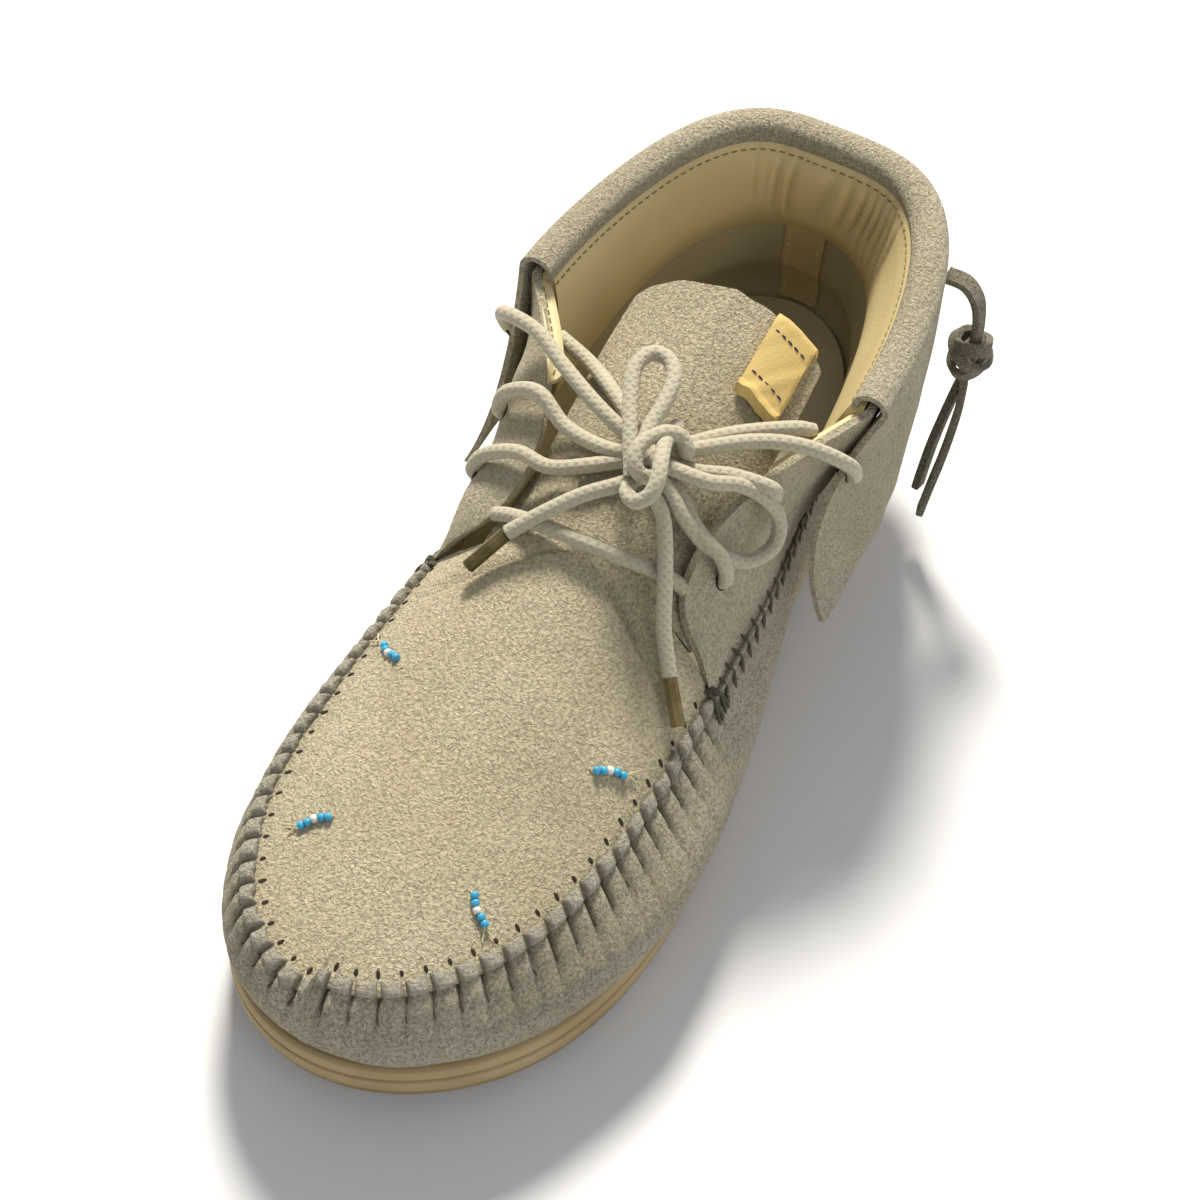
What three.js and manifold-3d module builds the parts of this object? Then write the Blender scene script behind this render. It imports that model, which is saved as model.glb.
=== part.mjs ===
// A left moccasin boot in suede: ankle high, a soft lower wall gathered to a flat plug over the toes,
// open quarters laced over a tongue, a padded collar under a turned-down cuff, and a foam wedge sole.
// Millimetres. x runs from the heel to the toe, y to the left (the outer side), z up from the floor.
import * as THREE from 'three';
import Module from 'manifold-3d';
import { mergeVertices } from 'three/addons/utils/BufferGeometryUtils.js';

const wasm = await Module();
wasm.setup();

// Driving sizes
const lastLength = 276;
const toeRoundness = 5;
const heelRoundness = 6;
const suede = 2.2;
const gap = 0.3;
const seamRaise = 1.5;
const linerThickness = 5;
const cuffThickness = 1.6;
const rollRadius = 5;
const tongueThickness = 2;
const laceRadius = 2;
const strapWidth = 6;
const strapThickness = 2.4;

// The last, station by station from the heel: half widths before the ends are rounded off, the height of
// the sole's bed and the height of the whipstitched seam.
const lastStations = [
  { x: 0, outer: 34, inner: 34, bed: 33, seam: 52 },
  { x: 40, outer: 36, inner: 35, bed: 31, seam: 50 },
  { x: 80, outer: 38.5, inner: 33.5, bed: 27.5, seam: 49 },
  { x: 120, outer: 45, inner: 33, bed: 23.5, seam: 50 },
  { x: 160, outer: 53, inner: 40, bed: 20.5, seam: 51 },
  { x: 195, outer: 57, inner: 45, bed: 19, seam: 49 },
  { x: 235, outer: 54, inner: 45, bed: 20, seam: 46 },
  { x: 276, outer: 45, inner: 43, bed: 26, seam: 45.5 },
];

// How far the seam lies inside that outline, and how far the wall below it swells out, on each side.
const wallStations = [
  { x: 0, outerInset: 1, innerInset: 1, outerSwell: 2, innerSwell: 2 },
  { x: 40, outerInset: 1, innerInset: 1, outerSwell: 2, innerSwell: 2 },
  { x: 80, outerInset: 0, innerInset: 0.5, outerSwell: 4, innerSwell: 2.5 },
  { x: 120, outerInset: 1, innerInset: 1.5, outerSwell: 6, innerSwell: 3 },
  { x: 160, outerInset: 6, innerInset: 3, outerSwell: 8, innerSwell: 3.5 },
  { x: 195, outerInset: 9, innerInset: 5, outerSwell: 8, innerSwell: 3.5 },
  { x: 235, outerInset: 8, innerInset: 2.5, outerSwell: 5.5, innerSwell: 3.5 },
  { x: 276, outerInset: 6, innerInset: 2, outerSwell: 4, innerSwell: 3.5 },
];

// How far the inner quarter bellies out below its front edge, by place round the upper.
const bellyPlaces = [
  { place: 2, out: 0 },
  { place: 2.12, out: 2 },
  { place: 2.25, out: 6 },
  { place: 2.4, out: 9.3 },
  { place: 2.7, out: 10.5 },
  { place: 2.8, out: 8.5 },
  { place: 2.9, out: 4.2 },
  { place: 3, out: 0.8 },
  { place: 3.15, out: 0 },
];
const bellyShare = 0.65;

// The middle of the plug and of the tongue behind it.
const ridgeStations = [
  { x: 74, y: 7, top: 106 },
  { x: 92, y: 7, top: 102 },
  { x: 110, y: 7, top: 97 },
  { x: 130, y: 6, top: 90 },
  { x: 150, y: 5, top: 81.5 },
  { x: 165, y: 5, top: 75.5 },
  { x: 195, y: 3.5, top: 64.5 },
  { x: 225, y: 3, top: 56.5 },
  { x: 255, y: 2, top: 50 },
  { x: 276, y: 0.5, top: 46 },
];

// How far the plug and the tongue fall away to the sides of that middle.
const fallAway = [
  { aside: 0, drop: 0 },
  { aside: 15, drop: 4 },
  { aside: 29, drop: 14.5 },
  { aside: 43, drop: 28.5 },
];

// The edge of the throat: along the back of the plug to the corner at the seam (share 1), then up the
// front edge of the quarter to the collar's front corner (share 2).
const throatEdge = [
  { share: 0, x: 150, outer: 5, inner: -5, z: 81.5 },
  { share: 0.33, x: 150.5, outer: 18, inner: 8, z: 78.5 },
  { share: 0.66, x: 151.5, outer: 30, inner: 20, z: 69.5 },
  { share: 0.85, x: 153, outer: 39.5, inner: 29.5, z: 60.5 },
  { share: 1, x: 154.5, outer: 45, inner: 35.5, z: 54.5 },
  { share: 1.1, x: 152.5, outer: 41, inner: 31.5, z: 63 },
  { share: 1.25, x: 149, outer: 34, inner: 24.5, z: 71.8 },
  { share: 1.4, x: 143, outer: 31.5, inner: 20.5, z: 78 },
  { share: 1.55, x: 132, outer: 32, inner: 19.5, z: 84.5 },
  { share: 1.7, x: 119, outer: 36.5, inner: 23.5, z: 90.5 },
  { share: 1.85, x: 104, outer: 44.5, inner: 32.5, z: 96 },
  { share: 2, x: 88, outer: 53, inner: 45, z: 99 },
];

// The upper's top line under the cuff's roll.
const collarStations = [
  { x: 7, z: 104 },
  { x: 50, z: 100 },
  { x: 88, z: 99 },
];

// The lower edge of the cuff: its front corner, its side and its back.
const cuffHem = { frontX: 115, outerY: 60, innerY: 50, frontZ: 47, backX: -7, backZ: 54 };
const cuffPinch = { forward: 4.6, outer: 7.5, inner: 5 };

// Stations of the seam where the plug's edge, the throat's corner and the collar's corner begin.
const seamStops = [lastLength, 176, 155, 98, 0];
const plugFront = 250;

function smooth(t) {
  const s = Math.min(1, Math.max(0, t));
  return s * s * (3 - 2 * s);
}

function mix(a, b, t) {
  return a + (b - a) * t;
}

// Reads a column of a table at a place along its first column, on a smooth curve through the rows.
function read(table, key, column, at) {
  const last = table.length - 1;
  if (at <= table[0][key]) return table[0][column];
  if (at >= table[last][key]) return table[last][column];
  let i = 0;
  while (at > table[i + 1][key]) i += 1;
  const slope = (j) => {
    const a = Math.max(0, j - 1);
    const b = Math.min(last, j + 1);
    return (table[b][column] - table[a][column]) / (table[b][key] - table[a][key]);
  };
  const width = table[i + 1][key] - table[i][key];
  const t = (at - table[i][key]) / width;
  return (
    table[i][column] * (2 * t ** 3 - 3 * t ** 2 + 1) +
    slope(i) * width * (t ** 3 - 2 * t ** 2 + t) +
    table[i + 1][column] * (-2 * t ** 3 + 3 * t ** 2) +
    slope(i + 1) * width * (t ** 3 - t ** 2)
  );
}

// The station that an angle round the last reaches: 0 is the toe, PI the back of the heel.
function stationAt(angle) {
  return (lastLength / 2) * (1 + Math.cos(angle));
}

function angleAt(station) {
  return Math.acos((2 * station) / lastLength - 1);
}

// A point of the last's outline. side is 1 on the outer side and -1 on the inner side.
function outline(side, angle, grow) {
  const u = Math.cos(angle);
  const station = stationAt(angle);
  const outer = read(lastStations, 'x', 'outer', station);
  const inner = read(lastStations, 'x', 'inner', station);
  const rounding = Math.sqrt(Math.max(0, 1 - Math.abs(u) ** (u > 0 ? toeRoundness : heelRoundness)));
  const centre = (outer - inner) / 2;
  const half = (outer + inner) / 2;
  return [station + u * grow, centre + side * (half + grow) * rounding];
}

// Where a place round the upper stands on the last: 0 to 1 is the plug, 1 to 2 its back edge,
// 2 to 3 the quarter's front edge and 3 to 4 the collar round to the back of the heel.
function angleOf(place) {
  const i = Math.min(3, Math.floor(place));
  return mix(angleAt(seamStops[i]), angleAt(seamStops[i + 1]), place - i);
}

function ridgeSlope(x) {
  return (read(ridgeStations, 'x', 'top', x + 1) - read(ridgeStations, 'x', 'top', x - 1)) / 2;
}

// The upper's top edge: the middle of the plug, then the throat, then the collar.
function crest(side, place) {
  if (place <= 1) {
    const start = Math.cos(angleOf(1));
    const x = mix(plugFront, throatEdge[0].x, (1 - Math.cos(angleOf(place))) / (1 - start));
    return [x, read(ridgeStations, 'x', 'y', x), read(ridgeStations, 'x', 'top', x)];
  }
  if (place <= 3) {
    const share = place - 1;
    const y = side * read(throatEdge, 'share', side > 0 ? 'outer' : 'inner', share);
    return [read(throatEdge, 'share', 'x', share), y, read(throatEdge, 'share', 'z', share)];
  }
  const corner = throatEdge[throatEdge.length - 1];
  const back = collarStations[0].x;
  const t = ((place - 3) * Math.PI) / 2;
  const x = corner.x - (corner.x - back) * Math.sin(t) ** (side > 0 ? 1 : 1.1);
  const half = side > 0 ? corner.outer : corner.inner;
  const rounding = Math.max(0, Math.cos(t)) ** (side > 0 ? 0.52 : 0.74);
  return [x, side * half * rounding, read(collarStations, 'x', 'z', x)];
}

// A point of the upper's outer face. Rows 0 to 1 climb the lower wall from the sole's bed to the seam,
// rows 1 to 2 go on from the seam to the crest.
function upperPoint(side, place, row) {
  const angle = angleOf(place);
  const station = stationAt(angle);
  const bed = read(lastStations, 'x', 'bed', station);
  const seam = read(lastStations, 'x', 'seam', station);
  const inset = read(wallStations, 'x', side > 0 ? 'outerInset' : 'innerInset', station);
  if (row <= 1) {
    const most = read(wallStations, 'x', side > 0 ? 'outerSwell' : 'innerSwell', station);
    const swell = most * Math.sin(Math.PI * row ** 0.9);
    const [x, y] = outline(side, angle, swell - inset * row ** 2);
    return [x, y, mix(bed, seam, row)];
  }
  const [sx, sy] = outline(side, angle, -inset);
  const [cx, cy, cz] = crest(side, place);
  const q = row - 1;
  const rise = cz - seam;
  const upright = smooth((place - 2.15) / 0.85);
  const aside = Math.abs(cy - read(ridgeStations, 'x', 'y', cx));
  const steepness = read(fallAway, 'aside', 'drop', aside + 1) - read(fallAway, 'aside', 'drop', Math.max(0, aside - 1));
  const flatEnd = ridgeSlope(cx) * (cx - sx) + (steepness / 2) * Math.abs(cy - sy) * (place > 1 ? 1 : 0);
  const startLean = mix(1, 0.1, upright);
  const endLean = mix(1, 0.25, upright);
  const startUp = rise * mix(1.5, 1, upright);
  const endUp = mix(place > 2 ? 0.6 * rise : flatEnd, rise, upright);
  const h00 = 2 * q ** 3 - 3 * q ** 2 + 1;
  const h10 = q ** 3 - 2 * q ** 2 + q;
  const h01 = -2 * q ** 3 + 3 * q ** 2;
  const h11 = q ** 3 - q ** 2;
  const belly = side < 0 && place > 2 ? read(bellyPlaces, 'place', 'out', place) : 0;
  const shoulder = q < bellyShare ? smooth(q / bellyShare) : 1 - ((q - bellyShare) / (1 - bellyShare)) ** 2;
  return [
    h00 * sx + (h10 * startLean + h11 * endLean) * (cx - sx) + h01 * cx,
    h00 * sy + (h10 * startLean + h11 * endLean) * (cy - sy) + h01 * cy - belly * shoulder,
    h00 * seam + h10 * startUp + h01 * cz + h11 * endUp,
  ];
}

// The outward normal of the upper there, from its neighbours on the surface.
function upperNormal(side, place, row) {
  const step = 0.012;
  const a = new THREE.Vector3(...upperPoint(side, Math.max(0.001, place - step), row));
  const b = new THREE.Vector3(...upperPoint(side, Math.min(3.999, place + step), row));
  const c = new THREE.Vector3(...upperPoint(side, place, Math.max(0, row - 0.02)));
  const d = new THREE.Vector3(...upperPoint(side, place, Math.min(2, row + 0.02)));
  const normal = b.sub(a).cross(d.sub(c)).multiplyScalar(side).normalize();
  if (place < 0.01 || place > 3.99) normal.setY(0).normalize();
  return normal;
}

function offsetPoint(side, place, row, distance) {
  const normal = upperNormal(side, place, row);
  const [x, y, z] = upperPoint(side, place, row);
  return [x + normal.x * distance, y + normal.y * distance, z + normal.z * distance];
}

function geometryOf(points, faces) {
  const geometry = new THREE.BufferGeometry();
  geometry.setAttribute('position', new THREE.Float32BufferAttribute(points.flat(), 3));
  geometry.setIndex(faces.flat());
  return geometry;
}

function pieceOf(name, geometry, colour, roughness, metalness = 0) {
  const material = new THREE.MeshStandardMaterial({ color: colour, roughness, metalness });
  const piece = new THREE.Mesh(geometry, material);
  piece.name = name;
  return piece;
}

function solidOf(geometry) {
  const bare = new THREE.BufferGeometry();
  bare.setAttribute('position', geometry.getAttribute('position'));
  bare.setIndex(geometry.getIndex());
  const merged = mergeVertices(bare, 0.001);
  const vertProperties = new Float32Array(merged.getAttribute('position').array);
  const triVerts = new Uint32Array(merged.getIndex().array);
  return new wasm.Manifold(new wasm.Mesh({ numProp: 3, vertProperties, triVerts }));
}

function geometryFrom(solid) {
  const mesh = solid.getMesh();
  const geometry = new THREE.BufferGeometry();
  geometry.setAttribute('position', new THREE.BufferAttribute(new Float32Array(mesh.vertProperties), 3));
  geometry.setIndex(new THREE.BufferAttribute(new Uint32Array(mesh.triVerts), 1));
  return geometry;
}

// A closed sheet between an outer and an inner grid of points, given column by column.
function sheetBetween(outer, inner) {
  const columns = outer.length;
  const rows = outer[0].length;
  const points = [...outer.flat(), ...inner.flat()];
  const faces = [];
  const at = (layer, i, j) => layer * columns * rows + i * rows + j;
  const quad = (a, b, c, d) => faces.push([a, b, c], [a, c, d]);
  for (let i = 0; i < columns - 1; i += 1) {
    for (let j = 0; j < rows - 1; j += 1) {
      quad(at(0, i, j), at(0, i + 1, j), at(0, i + 1, j + 1), at(0, i, j + 1));
      quad(at(1, i, j), at(1, i, j + 1), at(1, i + 1, j + 1), at(1, i + 1, j));
    }
    quad(at(0, i, 0), at(1, i, 0), at(1, i + 1, 0), at(0, i + 1, 0));
    quad(at(0, i, rows - 1), at(0, i + 1, rows - 1), at(1, i + 1, rows - 1), at(1, i, rows - 1));
  }
  const end = columns - 1;
  for (let j = 0; j < rows - 1; j += 1) {
    quad(at(0, 0, j), at(0, 0, j + 1), at(1, 0, j + 1), at(1, 0, j));
    quad(at(0, end, j), at(1, end, j), at(1, end, j + 1), at(0, end, j + 1));
  }
  return geometryOf(points, faces);
}

// The upper
const placeSteps = [9, 5, 9, 9];
const upperRows = [0, 0.25, 0.5, 0.75, 0.9, 0.97, 1.02, 1.13, 1.28, 1.46, 1.64, 1.82, 2];

function placesFrom(first, last, steps) {
  const places = [];
  for (let i = 0; i <= steps; i += 1) places.push(mix(first, last, i / steps));
  return places;
}

function seamWelt(row) {
  return seamRaise * Math.exp(-(((row - 0.96) / 0.05) ** 2));
}

function makeUpper() {
  const half = [0];
  placeSteps.forEach((steps, i) => half.push(...placesFrom(i, i + 1, steps).slice(1)));
  const columns = half.map((place) => [1, place]);
  for (let i = half.length - 2; i > 0; i -= 1) columns.push([-1, half[i]]);
  const points = [];
  const index = new Map();
  const rows = upperRows.length;
  const vertex = (layer, i, j) => {
    const [side, place] = columns[i % columns.length];
    const onRidge = j === rows - 1 && place <= 1;
    const key = `${layer} ${onRidge ? place.toFixed(6) : i % columns.length} ${j}`;
    if (!index.has(key)) {
      index.set(key, points.length);
      if (onRidge) {
        const [x, y, z] = crest(1, place);
        const slope = ridgeSlope(x);
        const length = Math.hypot(1, slope);
        points.push([x + (slope / length) * suede * layer, y, z - (suede / length) * layer]);
      } else {
        const row = upperRows[j];
        points.push(offsetPoint(side, place, row, layer ? -suede : seamWelt(row)));
      }
    }
    return index.get(key);
  };
  const faces = [];
  const quad = (a, b, c, d) => {
    if (new Set([a, b, c]).size === 3) faces.push([a, b, c]);
    if (new Set([a, c, d]).size === 3) faces.push([a, c, d]);
  };
  for (let i = 0; i < columns.length; i += 1) {
    for (let j = 0; j < rows - 1; j += 1) {
      quad(vertex(0, i, j), vertex(0, i + 1, j), vertex(0, i + 1, j + 1), vertex(0, i, j + 1));
      quad(vertex(1, i, j), vertex(1, i, j + 1), vertex(1, i + 1, j + 1), vertex(1, i + 1, j));
    }
    quad(vertex(0, i, 0), vertex(1, i, 0), vertex(1, i + 1, 0), vertex(0, i + 1, 0));
    const top = rows - 1;
    if (Math.max(columns[i][1], columns[(i + 1) % columns.length][1]) > 1) {
      quad(vertex(0, i, top), vertex(0, i + 1, top), vertex(1, i + 1, top), vertex(1, i, top));
    }
  }
  return pieceOf('upper', geometryOf(points, faces), '#b9ad93', 0.95);
}

// The columns round the ankle, from the outer front corner past the heel to the inner one.
function ankleColumns(first, steps) {
  const columns = placesFrom(first, 4, steps).map((place) => [1, place]);
  for (let i = steps - 1; i >= 0; i -= 1) columns.push([-1, columns[i][1]]);
  return columns;
}

// The padded leather lining inside the collar.
function makeLining() {
  const rows = [
    { row: 1.96, thick: 3.2 },
    { row: 1.86, thick: 4.6 },
    { row: 1.7, thick: 5 },
    { row: 1.52, thick: 4.4 },
    { row: 1.36, thick: 2 },
  ];
  const columns = ankleColumns(3.04, 11);
  const face = (depth) =>
    columns.map(([side, place]) => rows.map((r) => offsetPoint(side, place, r.row, -suede - 3 * gap - depth(r))));
  const outer = face(() => 0);
  const inner = face((r) => (r.thick * linerThickness) / 5);
  return pieceOf('collar_lining', sheetBetween(inner, outer), '#e0d5ad', 0.5);
}

// The collar's outward direction in plan.
function collarNormal(side, place) {
  const a = crest(side, Math.max(3.001, place - 0.02));
  const b = crest(side, Math.min(3.999, place + 0.02));
  const normal = new THREE.Vector3(-(b[1] - a[1]), b[0] - a[0], 0).multiplyScalar(-side).normalize();
  if (place > 3.99) normal.set(-1, 0, 0);
  return normal;
}

// A point of the cuff. turn is the angle round its roll in degrees, 180 inside and 0 outside; past the
// roll, drop runs from 0 to 1 down the flap.
function cuffPoint(side, place, turn, drop, depth) {
  const [cx, cy, cz] = crest(side, place);
  const normal = collarNormal(side, place);
  const radius = rollRadius - depth;
  const lift = (turn * Math.PI) / 180;
  const reach = radius * Math.cos(lift) - suede / 2;
  const rolled = [cx + normal.x * reach, cy + normal.y * reach, cz + 0.4 + radius * Math.sin(lift)];
  if (drop === 0) return rolled;
  const t = ((place - 3) * Math.PI) / 2;
  const hemHalf = side > 0 ? cuffHem.outerY : cuffHem.innerY;
  const hem = [
    cuffHem.frontX - (cuffHem.frontX - cuffHem.backX) * Math.sin(t) ** (side > 0 ? 1 : 1.1),
    side * hemHalf * Math.max(0, Math.cos(t)) ** (side > 0 ? 0.56 : 0.7),
    mix(cuffHem.frontZ, cuffHem.backZ, Math.sin(t)),
  ];
  const inward = [normal.x * depth, normal.y * depth];
  const pinch = 4 * drop * (1 - drop) * Math.exp(-(((place - 3) / 0.16) ** 2));
  const pull = side > 0 ? cuffPinch.outer : cuffPinch.inner;
  return [
    mix(rolled[0] + inward[0], hem[0], drop) + pinch * cuffPinch.forward - inward[0],
    mix(rolled[1] + inward[1], hem[1], drop) - side * pinch * pull - inward[1],
    mix(rolled[2], hem[2], drop),
  ];
}

// The suede cuff: a roll over the collar's top and a flap turned down outside it.
function makeCuff() {
  const profile = [
    { turn: 195, drop: 0 },
    { turn: 150, drop: 0 },
    { turn: 105, drop: 0 },
    { turn: 60, drop: 0 },
    { turn: 20, drop: 0 },
    { turn: 0, drop: 0.1 },
    { turn: 0, drop: 0.28 },
    { turn: 0, drop: 0.46 },
    { turn: 0, drop: 0.64 },
    { turn: 0, drop: 0.82 },
    { turn: 0, drop: 1 },
  ];
  const columns = ankleColumns(3, 13);
  const face = (depth) =>
    columns.map(([side, place]) => profile.map((p) => cuffPoint(side, place, p.turn, p.drop, depth)));
  return pieceOf('cuff', sheetBetween(face(cuffThickness), face(0)), '#b4a88e', 0.95);
}

// The outer face of the tongue, which carries on the plug's surface behind the throat's edge.
const tongueStations = [
  { x: 74, half: 27, sink: 0.5 },
  { x: 92, half: 27.5, sink: 1.5 },
  { x: 110, half: 27, sink: 3 },
  { x: 125, half: 25.5, sink: 3.2 },
  { x: 140, half: 25.2, sink: 2 },
  { x: 150, half: 26, sink: 0 },
];

function tongueHeight(x, y) {
  const aside = Math.abs(y - read(ridgeStations, 'x', 'y', x));
  const sink = read(tongueStations, 'x', 'sink', x) * (aside / 28) ** 2;
  return read(ridgeStations, 'x', 'top', x) - read(fallAway, 'aside', 'drop', aside) - sink;
}

function makeTongue() {
  const across = placesFrom(-1, 1, 12);
  const along = placesFrom(0, 1, 10);
  const face = (depth) =>
    along.map((v) =>
      across.map((u) => {
        const corner = 74 + 2.5 * Math.abs(u) ** 8;
        const frontX = read(throatEdge, 'share', 'x', 0.66 * Math.abs(u)) - 2 * gap;
        const x = mix(corner, frontX, v);
        const half = read(tongueStations, 'x', 'half', x);
        const y = read(ridgeStations, 'x', 'y', x) + u * half;
        const slopeX = (tongueHeight(x + 1, y) - tongueHeight(x - 1, y)) / 2;
        const slopeY = (tongueHeight(x, y + 1) - tongueHeight(x, y - 1)) / 2;
        const length = Math.hypot(1, slopeX, slopeY);
        const inward = depth / length;
        return [x + slopeX * inward, y + slopeY * inward, tongueHeight(x, y) - inward];
      }),
    );
  return pieceOf('tongue', sheetBetween(face(0), face(tongueThickness)), '#c3b698', 0.95);
}

// The sole: heights of the ground line and of the line between outsole and midsole.
const soleStations = [
  { x: 0, ground: 2.5, split: 7 },
  { x: 16, ground: 0, split: 4.8 },
  { x: 70, ground: 0, split: 4.8 },
  { x: 110, ground: 1.6, split: 6 },
  { x: 150, ground: 0, split: 4.8 },
  { x: 205, ground: 0, split: 4.8 },
  { x: 245, ground: 4, split: 8.5 },
  { x: 276, ground: 11, split: 15 },
];
const soleColumns = 40;
const lugStations = [22, 36, 50, 64, 146, 160, 174, 188, 202, 218, 234, 250];
const grooveWidth = 3;
const grooveDepth = 1.8;

// A closed slab with the last's outline. Each ring has its growth and a height for every station.
function slab(rings) {
  const points = [];
  const faces = [];
  const columns = placesFrom(0, Math.PI, soleColumns).map((angle) => [1, angle]);
  for (let i = soleColumns - 1; i > 0; i -= 1) columns.push([-1, columns[i][1]]);
  const count = columns.length;
  for (const ring of rings) {
    for (const [side, angle] of columns) {
      const [x, y] = outline(side, angle, ring.grow);
      points.push([x, y, ring.height(stationAt(angle))]);
    }
  }
  for (let r = 0; r < rings.length - 1; r += 1) {
    for (let i = 0; i < count; i += 1) {
      const a = r * count + i;
      const b = r * count + ((i + 1) % count);
      faces.push([a, b, b + count], [a, b + count, a + count]);
    }
  }
  const top = (rings.length - 1) * count;
  for (let i = 0; i < soleColumns; i += 1) {
    const near = [i, (count - i) % count];
    const far = [i + 1, (count - i - 1) % count];
    faces.push([near[0], near[1], far[1]], [near[0], far[1], far[0]]);
    faces.push([top + near[0], top + far[1], top + near[1]], [top + near[0], top + far[0], top + far[1]]);
  }
  return geometryOf(points, faces.filter((face) => new Set(face).size === 3));
}

const bedHeight = (x) => read(lastStations, 'x', 'bed', x) - gap;
const splitHeight = (x) => read(soleStations, 'x', 'split', x);
const groundHeight = (x) => Math.max(0, read(soleStations, 'x', 'ground', x));
const sideHeight = (share) => (x) => mix(splitHeight(x) + gap, bedHeight(x), share);

function makeMidsole() {
  const rings = [
    { grow: 1, height: sideHeight(0) },
    { grow: 2.4, height: sideHeight(0.18) },
    { grow: 2.8, height: sideHeight(0.5) },
    { grow: 1.8, height: sideHeight(0.56) },
    { grow: 1.8, height: sideHeight(0.63) },
    { grow: 2.7, height: sideHeight(0.7) },
    { grow: 1.8, height: sideHeight(1) },
  ];
  return pieceOf('midsole', slab(rings), '#b6a377', 0.7);
}

function makeOutsole() {
  const body = slab([
    { grow: -1, height: groundHeight },
    { grow: 1.6, height: (x) => mix(groundHeight(x), splitHeight(x), 0.45) },
    { grow: 1.8, height: splitHeight },
  ]);
  let solid = solidOf(body);
  for (const station of lugStations) {
    const groove = new THREE.BoxGeometry(grooveWidth, 2 * lastLength, 2 * grooveDepth);
    groove.rotateY(Math.atan2(groundHeight(station - 1) - groundHeight(station + 1), 2));
    groove.translate(station, 0, groundHeight(station));
    solid = solid.subtract(solidOf(groove));
  }
  return pieceOf('outsole', geometryFrom(solid), '#a8956b', 0.8);
}

function makeInsole() {
  const lift = (height) => (x) => read(lastStations, 'x', 'bed', x) + height;
  const rings = [
    { grow: -3.5, height: lift(0) },
    { grow: -2.9, height: lift(1.2) },
    { grow: -3.2, height: lift(3) },
  ];
  return pieceOf('insole', slab(rings), '#cfc4a6', 0.9);
}

// A small leather or suede tab that lies on the tongue: each row has a station and its two faces' heights
// above the tongue, and the tab spans from one y to the other.
function tabOnTongue(name, rows, fromY, toY, colour, roughness) {
  const across = placesFrom(fromY, toY, 4);
  const face = (layer) => rows.map((r) => across.map((y) => [r[layer].x, y, tongueHeight(r[layer].x, y) + r[layer].lift]));
  return pieceOf(name, sheetBetween(face('top'), face('bottom')), colour, roughness);
}

const tagRows = [
  { top: { x: 86, lift: -4.6 }, bottom: { x: 86, lift: -3.2 } },
  { top: { x: 76, lift: -4.6 }, bottom: { x: 76.5, lift: -3.2 } },
  { top: { x: 72.4, lift: -3.8 }, bottom: { x: 74, lift: -2.6 } },
  { top: { x: 71.2, lift: -1.2 }, bottom: { x: 72.8, lift: -1.2 } },
  { top: { x: 72.6, lift: 1.4 }, bottom: { x: 73.4, lift: 0.4 } },
  { top: { x: 76, lift: 1.9 }, bottom: { x: 76, lift: 0.5 } },
  { top: { x: 87, lift: 1.9 }, bottom: { x: 87, lift: 0.5 } },
  { top: { x: 97, lift: 1.9 }, bottom: { x: 97, lift: 0.5 } },
];
const keeperRows = [
  { top: { x: 129, lift: 1.6 }, bottom: { x: 129, lift: 0.5 } },
  { top: { x: 133, lift: 1.6 }, bottom: { x: 133, lift: 0.5 } },
  { top: { x: 137, lift: 1.6 }, bottom: { x: 137, lift: 0.5 } },
];

// A round cord along a path of points.
function cordAlong(path, radius, spans, sides = 8) {
  const shape = new THREE.Shape();
  for (let i = 0; i < sides; i += 1) {
    const a = (2 * Math.PI * i) / sides;
    const point = [radius * Math.cos(a), radius * Math.sin(a)];
    if (i === 0) shape.moveTo(...point);
    else shape.lineTo(...point);
  }
  const curve = new THREE.CatmullRomCurve3(path.map((p) => new THREE.Vector3(...p)));
  return new THREE.ExtrudeGeometry(shape, { steps: spans, extrudePath: curve });
}

// A flat strap along a path of points.
function strapAlong(path, width, thickness, spans) {
  const shape = new THREE.Shape();
  shape.moveTo(-width / 2, -thickness / 2);
  shape.lineTo(width / 2, -thickness / 2);
  shape.lineTo(width / 2, thickness / 2);
  shape.lineTo(-width / 2, thickness / 2);
  const curve = new THREE.CatmullRomCurve3(path.map((p) => new THREE.Vector3(...p)));
  return new THREE.ExtrudeGeometry(shape, { steps: spans, extrudePath: curve });
}

function ball(centre, radii) {
  const geometry = new THREE.SphereGeometry(1, 12, 8);
  geometry.scale(...radii);
  geometry.translate(...centre);
  return geometry;
}

function joined(geometries) {
  return geometryFrom(geometries.map(solidOf).reduce((a, b) => a.add(b)));
}

// The lace. Its bars leave the knot's underside for the holes in the quarters and the cuff.
const hub = [125.5, 10.5, 95.2];
const laceBars = [
  [hub, [113, -6, 95.3], [102, -19, 90.3], [97.5, -31, 90.5]],
  [hub, [121, -6, 98], [113, -22, 99], [107, -33, 100], [103, -45, 97], [100, -52, 87]],
  [hub, [129, 0, 95], [125.5, -14, 92], [121, -24.5, 94.6], [120, -34, 88.5], [120.5, -37.5, 80]],
  [hub, [134, -3, 92], [136, -13, 87.5], [135, -22.5, 86.5], [134.5, -32, 79.4], [135.2, -37.6, 71]],
  [hub, [119, 18, 98], [110.5, 26.5, 98.5], [101, 37, 97], [96.5, 41, 94]],
  [hub, [121, 20, 99], [112, 32, 100], [107, 43, 99.5], [101, 53, 92.5], [93, 60.5, 79]],
  [hub, [131, 20, 94], [136, 29, 88.8], [136.5, 36.5, 83], [134.5, 41.5, 73]],
  [hub, [125, 22, 96], [121.5, 31, 95.8], [119, 40.5, 94], [118, 45.5, 86]],
];
const lowestBar = [
  [147.5, -17, 77.6],
  [150, -8, 82.7],
  [151, 5, 85],
  [148.5, 18, 82.6],
  [145.5, 26, 78.9],
];
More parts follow.
